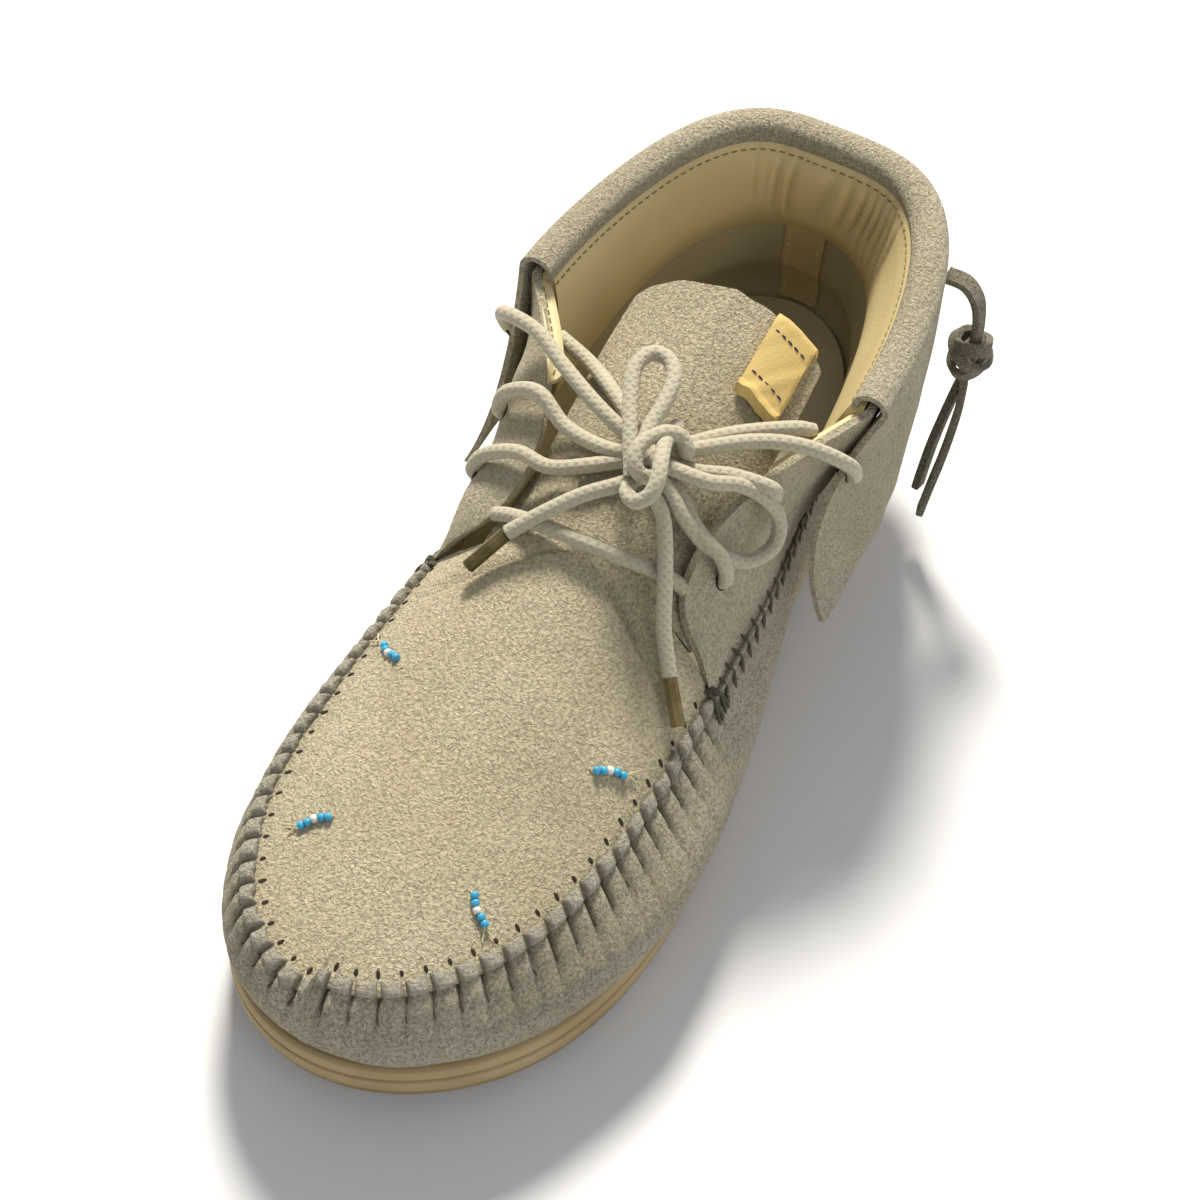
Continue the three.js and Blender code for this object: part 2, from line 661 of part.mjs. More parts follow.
const bowLoop = [
  [131.8, 17.6, 102.6],
  [121, 29, 102.2],
  [118.5, 41, 99.6],
  [120, 47.5, 91],
  [124.5, 49.5, 84],
  [132, 46, 84.5],
  [136, 36, 92.5],
  [134, 25.5, 97],
  [131.2, 20.3, 98.2],
];
const upperLoop = [
  [118, 7.2, 104.3],
  [110.5, 0, 106.5],
  [103.5, -1, 110],
  [101.5, 3, 110.8],
  [105, 7.5, 110],
  [116.2, 10.6, 107.6],
];
const innerEnd = [
  [131.2, 8.1, 101.6],
  [146, -4, 93.5],
  [155.5, -13.5, 81.5],
];
const innerAglet = [
  [155.9, -13.9, 81],
  [164, -20, 72.8],
];
const outerEnd = [
  [131.2, 12.9, 100.3],
  [147.5, 26, 86.3],
  [158, 32, 74],
  [164, 37.5, 67],
];
const outerAglet = [
  [164.4, 37.9, 66.6],
  [171.5, 44.5, 59.5],
];

function makeBars() {
  const bars = laceBars.map((path) => cordAlong(path, laceRadius, path.length * 2));
  return pieceOf('lace_bars', joined([ball(hub, [3, 3, 3]), ...bars]), '#cdc3a4', 0.85);
}

function cordPiece(name, path, spans) {
  return pieceOf(name, cordAlong(path, laceRadius, spans), '#cdc3a4', 0.85);
}

function agletPiece(name, path) {
  return pieceOf(name, cordAlong(path, laceRadius - 0.1, 1), '#72643b', 0.4, 0.6);
}

// The thong: a loop out of the cuff by the heel, its knot and two ends that hang down.
function makeThong() {
  const loop = strapAlong([[27, 50, 92], [27.5, 55.5, 90], [28, 58.5, 84], [28.5, 59, 74]], strapWidth, strapThickness, 8);
  const knot = ball([28.8, 59.8, 71.5], [6.5, 5, 6.5]);
  const longEnd = strapAlong([[29, 60.5, 70], [33, 61, 50], [37, 60.5, 30], [40, 60, 14]], strapWidth, strapThickness, 6);
  const shortEnd = strapAlong([[28, 58, 70], [31, 57, 50], [33.5, 56.5, 32], [35.5, 56.5, 19]], strapWidth, strapThickness, 6);
  return pieceOf('heel_thong', joined([loop, knot, longEnd, shortEnd]), '#a89d85', 0.95);
}

// The footprint's middle, which the part's frame is centred on.
const middle = { x: 136, y: 5.6 };

const shoe = new THREE.Group();
shoe.add(makeOutsole());
shoe.add(makeMidsole());
shoe.add(makeInsole());
shoe.add(makeUpper());
shoe.add(makeTongue());
shoe.add(makeLining());
shoe.add(makeCuff());
shoe.add(tabOnTongue('tongue_tag', tagRows, 19.5, 31, '#e6cf8e', 0.55));
shoe.add(tabOnTongue('lace_keeper', keeperRows, -4, 6, '#bcb091', 0.95));
shoe.add(makeBars());
shoe.add(cordPiece('lace_lowest_bar', lowestBar, 10));
shoe.add(pieceOf('lace_knot', ball([124.5, 11, 103.2], [7.5, 6.5, 4.6]), '#cdc3a4', 0.85));
shoe.add(cordPiece('lace_bow_loop', bowLoop, 22));
shoe.add(cordPiece('lace_upper_loop', upperLoop, 16));
shoe.add(cordPiece('lace_inner_end', innerEnd, 8));
shoe.add(cordPiece('lace_outer_end', outerEnd, 10));
shoe.add(agletPiece('inner_aglet', innerAglet));
shoe.add(agletPiece('outer_aglet', outerAglet));
shoe.add(makeThong());
shoe.position.set(-middle.x, -middle.y, 0);

export default shoe;
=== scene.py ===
import math
import bpy
import numpy as np
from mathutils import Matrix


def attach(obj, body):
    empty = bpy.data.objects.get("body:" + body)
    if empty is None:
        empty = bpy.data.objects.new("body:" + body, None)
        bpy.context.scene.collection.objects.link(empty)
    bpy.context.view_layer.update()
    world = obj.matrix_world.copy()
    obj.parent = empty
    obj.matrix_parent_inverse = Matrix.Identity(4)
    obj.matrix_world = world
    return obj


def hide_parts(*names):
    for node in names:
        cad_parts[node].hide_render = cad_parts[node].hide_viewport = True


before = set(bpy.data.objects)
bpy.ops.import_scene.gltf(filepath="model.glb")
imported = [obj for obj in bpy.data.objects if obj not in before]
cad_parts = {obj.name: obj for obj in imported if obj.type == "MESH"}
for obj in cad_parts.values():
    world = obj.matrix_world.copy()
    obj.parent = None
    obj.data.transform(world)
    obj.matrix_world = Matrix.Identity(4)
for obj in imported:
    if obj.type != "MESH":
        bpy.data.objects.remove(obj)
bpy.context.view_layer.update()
print("stage: frame loaded")

# Shapes are in millimetres from the heel: x to the toe, y to the outer side, z up from the floor
middle = np.array([136.0, 5.6, 0.0])


# points in millimetres from the heel become metres from the footprint's middle
def place3(points):
    return (np.asarray(points, float) - middle) / 1000


# Camera, lights and floor
view = dict(azimuth=30.75, elevation=51.96, eye=(469.3, 153.3, 527.3), focal=2280.0, picture=1200.0,
            shift=(0.134, -0.04))


# the eye looks down along the azimuth and elevation, and the focal length in pixels becomes a lens
def makeCamera():
    camera = bpy.data.objects.new("camera", bpy.data.cameras.new("camera"))
    bpy.context.collection.objects.link(camera)
    camera.data.sensor_width = 36
    camera.data.lens = 36 * view["focal"] / view["picture"]
    camera.data.shift_x, camera.data.shift_y = view["shift"]
    camera.location = place3(view["eye"])
    camera.rotation_euler = (math.radians(90 - view["elevation"]), 0, math.radians(90 + view["azimuth"]))
    camera.data.clip_end = 20
    bpy.context.scene.camera = camera


# an area lamp at a place, turned to face a point over the shoe
def makeLamp(name, at, size, power, colour):
    lamp = bpy.data.objects.new(name, bpy.data.lights.new(name, "AREA"))
    bpy.context.collection.objects.link(lamp)
    lamp.data.shape = "DISK"
    lamp.data.size = size
    lamp.data.energy = power
    lamp.data.color = colour
    lamp.location = at
    toward = np.array([0.0, 0.0, 0.05]) - np.array(at)
    flat = math.hypot(toward[0], toward[1])
    lamp.rotation_euler = (math.atan2(flat, -toward[2]), 0, math.atan2(toward[1], toward[0]) - math.pi / 2)


makeCamera()
makeLamp("windowLight", (-0.85, -0.5, 1.25), 0.36, 38, (1.0, 0.96, 0.88))
makeLamp("roomLight", (0.5, 1.2, 0.8), 1.2, 4, (0.95, 0.97, 1.0))
world = bpy.data.worlds.new("studio")
bpy.context.scene.world = world
world.use_nodes = True
world.node_tree.nodes["Background"].inputs["Color"].default_value = (0.93, 0.95, 1.0, 1)
world.node_tree.nodes["Background"].inputs["Strength"].default_value = 0.37
bpy.context.scene.view_settings.view_transform = "Standard"


# Shader maths: a wire wraps a socket, and its operators add Math nodes
class Wire:
    def __init__(self, finish, socket):
        self.finish, self.socket = finish, socket

    def math(self, operation, *values):
        return self.finish.add("ShaderNodeMath", {"operation": operation}, dict(enumerate(values)))

    def __add__(self, other):
        return self.math("ADD", self, other)

    def __radd__(self, other):
        return self.math("ADD", other, self)

    def __sub__(self, other):
        return self.math("SUBTRACT", self, other)

    def __rsub__(self, other):
        return self.math("SUBTRACT", other, self)

    def __mul__(self, other):
        return self.math("MULTIPLY", self, other)

    def __rmul__(self, other):
        return self.math("MULTIPLY", other, self)

    def sine(self):
        return self.math("SINE", self)

    def larger(self, other):
        return self.math("MAXIMUM", self, other)

    def between(self, low, high):
        return self.finish.add("ShaderNodeMapRange", {"clamp": True}, {0: self, 1: low, 2: high, 3: 0.0, 4: 1.0})


# A material with a Principled shader and the methods that add nodes before it
class Finish:
    def __init__(self, name, roughness, **constants):
        self.material = bpy.data.materials.new(name)
        self.material.use_nodes = True
        self.tree = self.material.node_tree
        self.shader = self.tree.nodes["Principled BSDF"]
        self.shader.inputs["Roughness"].default_value = roughness
        for key, value in constants.items():
            self.shader.inputs[key].default_value = value
        self.place = self.add("ShaderNodeTexCoord", {}, {}, "Object")

    def add(self, kind, settings, sockets, out=0):
        node = self.tree.nodes.new(kind)
        for key, value in settings.items():
            setattr(node, key, value)
        for key, value in sockets.items():
            if isinstance(value, Wire):
                self.tree.links.new(value.socket, node.inputs[key])
            else:
                node.inputs[key].default_value = value
        return Wire(self, node.outputs[out])

    def noise(self, scale, detail=3.0, rough=0.55, warp=0.0):
        return self.add("ShaderNodeTexNoise", {}, {"Vector": self.place, "Scale": scale, "Detail": detail,
                                                   "Roughness": rough, "Distortion": warp})

    def attribute(self, name):
        return self.add("ShaderNodeAttribute", {"attribute_name": name}, {}, "Fac")

    def mixed(self, amount, first, second):
        def full(colour):
            return colour if isinstance(colour, Wire) else (*colour, 1)
        return self.add("ShaderNodeMix", {"data_type": "RGBA"}, {0: amount, 6: full(first), 7: full(second)}, 2)

    def bump(self, height, distance, strength=1.0):
        return self.add("ShaderNodeBump", {}, {"Height": height, "Distance": distance, "Strength": strength})

    def feed(self, colour, normal=None):
        self.tree.links.new(colour.socket, self.shader.inputs["Base Color"])
        if normal:
            self.tree.links.new(normal.socket, self.shader.inputs["Normal"])
        return self.material


# sRGB levels 0 to 255 as linear light: ((c + 0.055) / 1.055) to the power 2.4, or c / 12.92 when dark
def tone(red, green, blue):
    levels = np.array([red, green, blue]) / 255
    return tuple(np.where(levels > 0.04045, ((levels + 0.055) / 1.055) ** 2.4, levels / 12.92).tolist())


# Suede: a fine nap from two noises, slow patches of tone and pale fibres, under the raw and shade tints
def suedeFinish(name, pale, dark, nap=1.0, fibre=0.25, contrast=0.6):
    finish = Finish(name, 0.95, **{"Sheen Weight": 0.2, "Sheen Roughness": 0.5, "Specular IOR Level": 0.2})
    grain = finish.noise(1080, 3, 0.62, 0.5)
    fine = finish.noise(3000, 2, 0.6)
    tint = (finish.noise(42) * 0.5 + finish.noise(14, 2) * 0.5).between(0.36, 0.64)
    base = finish.mixed(tint, dark, pale)
    speck = (grain * 0.8 + fine * 0.2).between(0.4, 0.54)
    shaded = finish.mixed((1 - speck) * contrast, base, tuple(c * 0.42 for c in dark))
    bright = finish.mixed(fine.between(0.58, 0.7) * fibre, shaded, tuple(min(1, c * 1.4) for c in pale))
    normal = finish.bump(grain * 0.8 + fine * 0.2, 0.0032 * nap, 1.0)
    raw = finish.mixed(finish.attribute("raw") * 0.55, bright, tone(196, 190, 174))
    final = finish.mixed(finish.attribute("shade").between(0.0, 1.0), raw, tuple(c * 0.3 for c in dark))
    return finish.feed(colour=final, normal=normal)


# Smooth leather: faint pores, a slow change of tone, and painted shade from the shade tint
def leatherFinish(name, pale, dark, gloss=0.42):
    finish = Finish(name, gloss, **{"Specular IOR Level": 0.45})
    pores = finish.add("ShaderNodeTexVoronoi", {"feature": "F1"}, {"Vector": finish.place, "Scale": 1500.0})
    cloud = finish.noise(26, 3, 0.5)
    paintedShade = finish.attribute("shade")
    base = finish.mixed(cloud.between(0.35, 0.65), dark, pale)
    final = finish.mixed(paintedShade.between(0.0, 1.0), base, tuple(c * 0.45 for c in dark))
    normal = finish.bump(pores, 0.00012, 0.5)
    return finish.feed(colour=final, normal=normal)


# Foam rubber: fine pits, and painted shade from the shade tint in the grooves and along the edges
def foamFinish(name, pale, dark, pit=1.0):
    finish = Finish(name, 0.72, **{"Specular IOR Level": 0.3})
    pits = finish.noise(900, 3, 0.6)
    cloud = finish.noise(30, 4, 0.6)
    paintedShade = finish.attribute("shade")
    base = finish.mixed(cloud.between(0.35, 0.65), dark, pale)
    final = finish.mixed(paintedShade.between(0.0, 1.0), base, tuple(c * 0.5 for c in dark))
    normal = finish.bump(pits, 0.0003 * pit, 0.6)
    return finish.feed(colour=final, normal=normal)


# Braided cord: crossing diagonal strands from the uv map, along the cord in x and round it in y
def cordFinish(name, pale, dark, strands=5.0, pitch=2.4):
    finish = Finish(name, 0.8, **{"Sheen Weight": 0.2, "Specular IOR Level": 0.25})
    uv = finish.add("ShaderNodeTexCoord", {}, {}, "UV")
    parts = finish.tree.nodes.new("ShaderNodeSeparateXYZ")
    finish.tree.links.new(uv.socket, parts.inputs[0])
    along, around = Wire(finish, parts.outputs[0]), Wire(finish, parts.outputs[1])
    left = (along * (2 * math.pi / pitch) + around * (2 * math.pi * strands)).sine()
    right = (along * (2 * math.pi / pitch) - around * (2 * math.pi * strands)).sine()
    weave = left.larger(right) * 0.5 + 0.5
    fuzz = finish.noise(2500, 2, 0.6)
    # the colour is darker between the strands as painted shade in the braid's grooves, with slow noise for tone
    base = finish.mixed(weave * 0.3 + finish.noise(60) * 0.4 + 0.2, dark, pale)
    normal = finish.bump(weave * 0.7 + fuzz * 0.5, 0.00035, 0.7)
    return finish.feed(colour=base, normal=normal)


# A plain finish with a little noise in its colour
def plainFinish(name, pale, dark, roughness, scale=300.0, **constants):
    finish = Finish(name, roughness, **constants)
    return finish.feed(colour=finish.mixed(finish.noise(scale).between(0.35, 0.65), dark, pale))


materials = dict(
    plug=suedeFinish("plugSuede", tone(234, 220, 184), tone(216, 200, 162), 0.8, 0.3),
    # the tongue's suede: the plug's suede, made a little darker as painted shade
    tongue=suedeFinish("tongueSuede", tone(222, 208, 174), tone(202, 188, 152), 0.9, 0.4, 0.7),
    # the wall's suede: a greyer suede than the plug's, made darker still as painted shade
    wall=suedeFinish("wallSuede", tone(208, 196, 168), tone(184, 171, 142), 0.9, 0.8, 0.7),
    quarter=suedeFinish("quarterSuede", tone(214, 203, 174), tone(194, 182, 150), 0.7, 0.4, 0.55),
    cuff=suedeFinish("cuffSuede", tone(210, 199, 171), tone(188, 176, 146), 0.8, 0.7, 0.6),
    thong=suedeFinish("thongSuede", tone(150, 141, 119), tone(124, 115, 94), 0.8, 0.6),
    keeper=suedeFinish("keeperSuede", tone(196, 184, 156), tone(174, 162, 132), 0.8, 0.6),
    lining=leatherFinish("liningLeather", tone(224, 205, 154), tone(214, 194, 142), 0.4),
    facing=leatherFinish("facingLeather", tone(230, 216, 168), tone(218, 202, 152), 0.5),
    inside=leatherFinish("insideLeather", tone(184, 174, 142), tone(166, 155, 124), 0.7),
    stay=leatherFinish("stayLeather", tone(200, 180, 136), tone(188, 168, 124), 0.6),
    insole=leatherFinish("insoleLeather", tone(206, 197, 170), tone(190, 180, 150), 0.7),
    tag=leatherFinish("tagLeather", tone(226, 198, 130), tone(214, 184, 114), 0.45),
    midsole=foamFinish("midsoleFoam", tone(182, 162, 122), tone(164, 143, 102)),
    outsole=foamFinish("outsoleRubber", tone(160, 141, 104), tone(142, 123, 86), 1.6),
    cord=cordFinish("laceCord", tone(198, 190, 166), tone(160, 151, 127)),
    stitch=plainFinish("darkThread", tone(96, 92, 72), tone(66, 62, 46), 0.8, 2500.0),
    paleStitch=plainFinish("paleThread", tone(226, 216, 176), tone(196, 184, 142), 0.7, 2500.0),
    tanStitch=plainFinish("tanThread", tone(150, 136, 96), tone(120, 106, 70), 0.8, 2500.0),
    # hole: near black, painted shade for the inside of the stitch and lace holes
    hole=plainFinish("stitchHole", tone(52, 42, 28), tone(38, 30, 20), 0.9, 900.0),
    aglet=plainFinish("agletMetal", tone(138, 124, 84), tone(108, 94, 58), 0.38, 180.0, Metallic=0.75),
    blueBead=plainFinish("blueBead", tone(70, 178, 214), tone(52, 156, 196), 0.25, 900.0),
    whiteBead=plainFinish("whiteBead", tone(240, 238, 228), tone(226, 222, 208), 0.3, 900.0),
    navy=plainFinish("navyThread", tone(58, 56, 92), tone(44, 42, 74), 0.8, 2500.0),
    floor=plainFinish("floorPaper", (0.84, 0.84, 0.84), (0.82, 0.82, 0.82), 0.9, 4.0),
)
print("stage: materials")

# The last, station by station from the heel, as in the part
last = dict(
    x=[0, 40, 80, 120, 160, 195, 235, 276],
    outer=[34, 36, 38.5, 45, 53, 57, 54, 45],
    inner=[34, 35, 33.5, 33, 40, 45, 45, 43],
    bed=[33, 31, 27.5, 23.5, 20.5, 19, 20, 26],
    seam=[52, 50, 49, 50, 51, 49, 46, 45.5],
    outerInset=[1, 1, 0, 1, 6, 9, 8, 6],
    innerInset=[1, 1, 0.5, 1.5, 3, 5, 2.5, 2],
    outerSwell=[2, 2, 4, 6, 8, 8, 5.5, 4],
    innerSwell=[2, 2, 2.5, 3, 3.5, 3.5, 3.5, 3.5])
belly = dict(place=[2, 2.12, 2.25, 2.4, 2.7, 2.8, 2.9, 3, 3.15], out=[0, 2, 6, 9.3, 10.5, 8.5, 4.2, 0.8, 0])
ridge = dict(
    x=[74, 92, 110, 130, 150, 165, 195, 225, 255, 276],
    y=[7, 7, 7, 6, 5, 5, 3.5, 3, 2, 0.5],
    top=[106, 102, 97, 90, 81.5, 75.5, 64.5, 56.5, 50, 46])
fallAway = dict(aside=[0, 15, 29, 43], drop=[0, 4, 14.5, 28.5])
throat = dict(
    share=[0, 0.33, 0.66, 0.85, 1, 1.1, 1.25, 1.4, 1.55, 1.7, 1.85, 2],
    x=[150, 150.5, 151.5, 153, 154.5, 152.5, 149, 143, 132, 119, 104, 88],
    outer=[5, 18, 30, 39.5, 45, 41, 34, 31.5, 32, 36.5, 44.5, 53],
    inner=[-5, 8, 20, 29.5, 35.5, 31.5, 24.5, 20.5, 19.5, 23.5, 32.5, 45],
    z=[81.5, 78.5, 69.5, 60.5, 54.5, 63, 71.8, 78, 84.5, 90.5, 96, 99])
collar = dict(x=[7, 50, 88], z=[104, 100, 99], outerY=53, innerY=45, outerPower=0.52, innerPower=0.74)
tongue = dict(x=[74, 92, 110, 125, 140, 150], half=[27, 27.5, 27, 25.5, 25.2, 26], sink=[0.5, 1.5, 3, 3.2, 2, 0])
ground = dict(x=[0, 16, 70, 110, 150, 205, 245, 276], low=[2.5, 0, 0, 1.6, 0, 0, 4, 11],
              split=[7, 4.8, 4.8, 6, 4.8, 4.8, 8.5, 15])
hem = dict(frontX=115, outerY=60, innerY=50, frontZ=47, backX=-7, backZ=54, outerPower=0.56, innerPower=0.7)
pinch = dict(forward=4.6, outer=7.5, inner=5)
sizes = dict(length=276, toeRoundness=5, heelRoundness=6, suede=2.2, plugFront=250, plugBack=150, roll=5,
             lace=2.0, tongue=2.0)
seamStops = [276, 176, 155, 98, 0]


# a plus the share t of the way to b
def mix(a, b, t):
    return a + (b - a) * t


# 3 t squared minus 2 t cubed, with t held between 0 and 1
def smooth(t):
    s = np.clip(t, 0, 1)
    return s * s * (3 - 2 * s)


# a hill of height 1 and the given width: e to the minus (distance / width) squared
def hill(distance, width):
    return np.exp(-(distance / width) ** 2)


# a vector over its own length
def unit(v):
    return v / np.maximum(np.linalg.norm(v, axis=-1, keepdims=True), 1e-9)


# slow wandering from -1 to 1: four sines of shorter and shorter waves, with phases from the seed
def wander(at, wave, seed):
    phases = np.random.default_rng(seed).uniform(0, 2 * np.pi, 4)
    return sum(np.sin(at * (2 * np.pi / wave) * (1 + 0.73 * k) + phases[k]) / (1 + 0.6 * k) for k in range(4)) / 2


# a table's column on a smooth curve: cubic pieces whose slopes join the rows on either side
def read(table, key, column, at):
    keys, values = np.array(table[key], float), np.array(table[column], float)
    at = np.clip(np.asarray(at, float), keys[0], keys[-1])
    before = np.maximum(np.arange(len(keys)) - 1, 0)
    after = np.minimum(np.arange(len(keys)) + 1, len(keys) - 1)
    slope = (values[after] - values[before]) / (keys[after] - keys[before])
    i = np.clip(np.searchsorted(keys, at, side="right") - 1, 0, len(keys) - 2)
    width = keys[i + 1] - keys[i]
    t = (at - keys[i]) / width
    return (values[i] * (2 * t ** 3 - 3 * t ** 2 + 1) + slope[i] * width * (t ** 3 - 2 * t ** 2 + t)
            + values[i + 1] * (3 * t ** 2 - 2 * t ** 3) + slope[i + 1] * width * (t ** 3 - t ** 2))


# half the length times 1 + cosine of the angle: 0 is the toe, pi the back of the heel
def stationAt(angle):
    return sizes["length"] / 2 * (1 + np.cos(angle))


# the inverse: the angle whose station is x
def angleAt(station):
    return np.arccos(2 * np.asarray(station) / sizes["length"] - 1)


# the last in plan: the half width times the square root of 1 - |u| to a power, moved out by grow
def outline(side, angle, grow):
    u = np.cos(angle)
    station = stationAt(angle)
    outer, inner = read(last, "x", "outer", station), read(last, "x", "inner", station)
    power = np.where(u > 0, sizes["toeRoundness"], sizes["heelRoundness"])
    rounding = np.sqrt(np.clip(1 - np.abs(u) ** power, 0, None))
    return station + u * grow, (outer - inner) / 2 + side * ((outer + inner) / 2 + grow) * rounding


# the angle at a place round the upper: 0-1 plug, 1-2 its back edge, 2-3 quarter's front edge, 3-4 collar
def angleOf(place):
    return np.interp(place, np.arange(5), angleAt(np.array(seamStops)))


# rise over run of the ridge line, from a millimetre either side
def ridgeSlope(x):
    return (read(ridge, "x", "top", x + 1) - read(ridge, "x", "top", x - 1)) / 2


# how far a rounded line in plan lies to the side: its half width times the cosine to a power
def sideways(plan, side, t):
    widest = side * np.where(side > 0, plan["outerY"], plan["innerY"])
    return widest * np.clip(np.cos(t), 0, None) ** np.where(side > 0, plan["outerPower"], plan["innerPower"])


# the upper's top edge: the middle of the plug, then the throat's edge, then the collar
def crest(side, place):
    place = np.asarray(place, float)
    start = math.cos(float(angleOf(1)))
    ridgeX = mix(sizes["plugFront"], sizes["plugBack"], (1 - np.cos(angleOf(np.minimum(place, 1)))) / (1 - start))
    share = np.clip(place - 1, 0, 2)
    throatY = side * np.where(side > 0, read(throat, "share", "outer", share), read(throat, "share", "inner", share))
    t = np.clip(place - 3, 0, 1) * np.pi / 2
    back, front = collar["x"][0], collar["x"][-1]
    collarX = front - (front - back) * np.sin(t) ** np.where(side > 0, 1, 1.1)
    collarY = sideways(collar, side, t)
    x = np.where(place <= 1, ridgeX, np.where(place <= 3, read(throat, "share", "x", share), collarX))
    y = np.where(place <= 1, read(ridge, "x", "y", ridgeX), np.where(place <= 3, throatY, collarY))
    z = np.where(place <= 1, read(ridge, "x", "top", ridgeX),
                 np.where(place <= 3, read(throat, "share", "z", share), read(collar, "x", "z", collarX)))
    return x, y, z


# the upper's outer face: rows 0 to 1 are the wall below the seam, rows 1 to 2 a cubic from the seam to the crest
def upperPoint(side, place, row):
    side, place, row = np.broadcast_arrays(*[np.asarray(v, float) for v in (side, place, row)])
    angle = angleOf(place)
    station = stationAt(angle)
    bed, seam = read(last, "x", "bed", station), read(last, "x", "seam", station)
    inset = np.where(side > 0, read(last, "x", "outerInset", station), read(last, "x", "innerInset", station))
    swell = np.where(side > 0, read(last, "x", "outerSwell", station), read(last, "x", "innerSwell", station))
    low = np.clip(row, 0, 1)
    wx, wy = outline(side, angle, swell * np.sin(np.pi * low ** 0.9) - inset * low ** 2)
    sx, sy = outline(side, angle, -inset)
    cx, cy, cz = crest(side, place)
    q = np.clip(row - 1, 0, 1)
    rise = cz - seam
    upright = smooth((place - 2.15) / 0.85)
    aside = np.abs(cy - read(ridge, "x", "y", cx))
    steep = read(fallAway, "aside", "drop", aside + 1) - read(fallAway, "aside", "drop", np.maximum(0, aside - 1))
    flatEnd = ridgeSlope(cx) * (cx - sx) + steep / 2 * np.abs(cy - sy) * (place > 1)
    startUp = rise * mix(1.5, 1, upright)
    endUp = mix(np.where(place > 2, 0.6 * rise, flatEnd), rise, upright)
    h00, h10 = 2 * q ** 3 - 3 * q ** 2 + 1, q ** 3 - 2 * q ** 2 + q
    h01, h11 = 3 * q ** 2 - 2 * q ** 3, q ** 3 - q ** 2
    lean = h10 * mix(1, 0.1, upright) + h11 * mix(1, 0.25, upright)
    x = h00 * sx + lean * (cx - sx) + h01 * cx
    shoulder = np.where(q < 0.65, smooth(q / 0.65), 1 - ((q - 0.65) / 0.35) ** 2)
    y = h00 * sy + lean * (cy - sy) + h01 * cy - np.where(side < 0, read(belly, "place", "out", place), 0) * shoulder
    z = h00 * seam + h10 * startUp + h01 * cz + h11 * endUp
    below = row <= 1
    return np.stack([np.where(below, wx, x), np.where(below, wy, y), np.where(below, mix(bed, seam, low), z)], -1)


# outward normal: the cross product of the steps along the place and along the row
def upperNormal(side, place, row):
    side, place, row = np.broadcast_arrays(*[np.asarray(v, float) for v in (side, place, row)])
    a = upperPoint(side, np.maximum(0.001, place - 0.012), row)
    b = upperPoint(side, np.minimum(3.999, place + 0.012), row)
    c = upperPoint(side, place, np.maximum(0, row - 0.02))
    d = upperPoint(side, place, np.minimum(2, row + 0.02))
    normal = unit(np.cross(b - a, d - c) * side[..., None])
    ends = (place < 0.01) | (place > 3.99)
    normal[..., 1] = np.where(ends, 0, normal[..., 1])
    return unit(normal)


# a point of the upper moved along its normal
def offsetPoint(side, place, row, distance):
    return upperPoint(side, place, row) + upperNormal(side, place, row) * np.asarray(distance, float)[..., None]


# the collar's outward direction in plan: its run turned a quarter round
def collarNormal(side, place):
    a = np.stack(crest(side, np.maximum(3.001, place - 0.02)), -1)
    b = np.stack(crest(side, np.minimum(3.999, place + 0.02)), -1)
    step = (b - a) * -np.asarray(side)[..., None]
    normal = unit(np.stack([-step[..., 1], step[..., 0], np.zeros_like(step[..., 0])], -1))
    return np.where((np.asarray(place) > 3.99)[..., None], [-1.0, 0, 0], normal)


# the cuff: a circle of the roll's radius over the collar, then a line down to the hem, pinched at its front
def cuffPoint(side, place, turn, drop, depth):
    given = [np.asarray(v, float) for v in (side, place, turn, drop, depth)]
    side, place, turn, drop, depth = np.broadcast_arrays(*given)
    cx, cy, cz = crest(side, place)
    normal = collarNormal(side, place)
    lift = np.radians(turn)
    radius = sizes["roll"] - depth
    reach = radius * np.cos(lift) - sizes["suede"] / 2
    rolled = np.stack([cx, cy, cz + 0.4 + radius * np.sin(lift)], -1) + normal * reach[..., None]
    t = np.clip(place - 3, 0, 1) * np.pi / 2
    lowX = hem["frontX"] - (hem["frontX"] - hem["backX"]) * np.sin(t) ** np.where(side > 0, 1, 1.1)
    low = np.stack([lowX, sideways(hem, side, t), mix(hem["frontZ"], hem["backZ"], np.sin(t))], -1)
    inward = normal * depth[..., None]
    bow = 4 * drop * (1 - drop) * hill(place - 3, 0.16)
    pull = np.where(side > 0, pinch["outer"], pinch["inner"])
    shift = np.stack([bow * pinch["forward"], -side * bow * pull, 0 * bow], -1)
    hung = mix(rolled + inward, low, drop[..., None]) + shift - inward
    return np.where((drop <= 0)[..., None], rolled, hung)


# the tongue's face: the ridge's height less the fall to the side and a little sink
def tongueHeight(x, y):
    aside = np.abs(y - read(ridge, "x", "y", x))
    sink = read(tongue, "x", "sink", x) * (aside / 28) ** 2
    return read(ridge, "x", "top", x) - read(fallAway, "aside", "drop", aside) - sink


# distance along a line of points, from 0 at its first
def arcLength(line):
    return np.concatenate([[0], np.cumsum(np.linalg.norm(np.diff(line, axis=0), axis=1))])


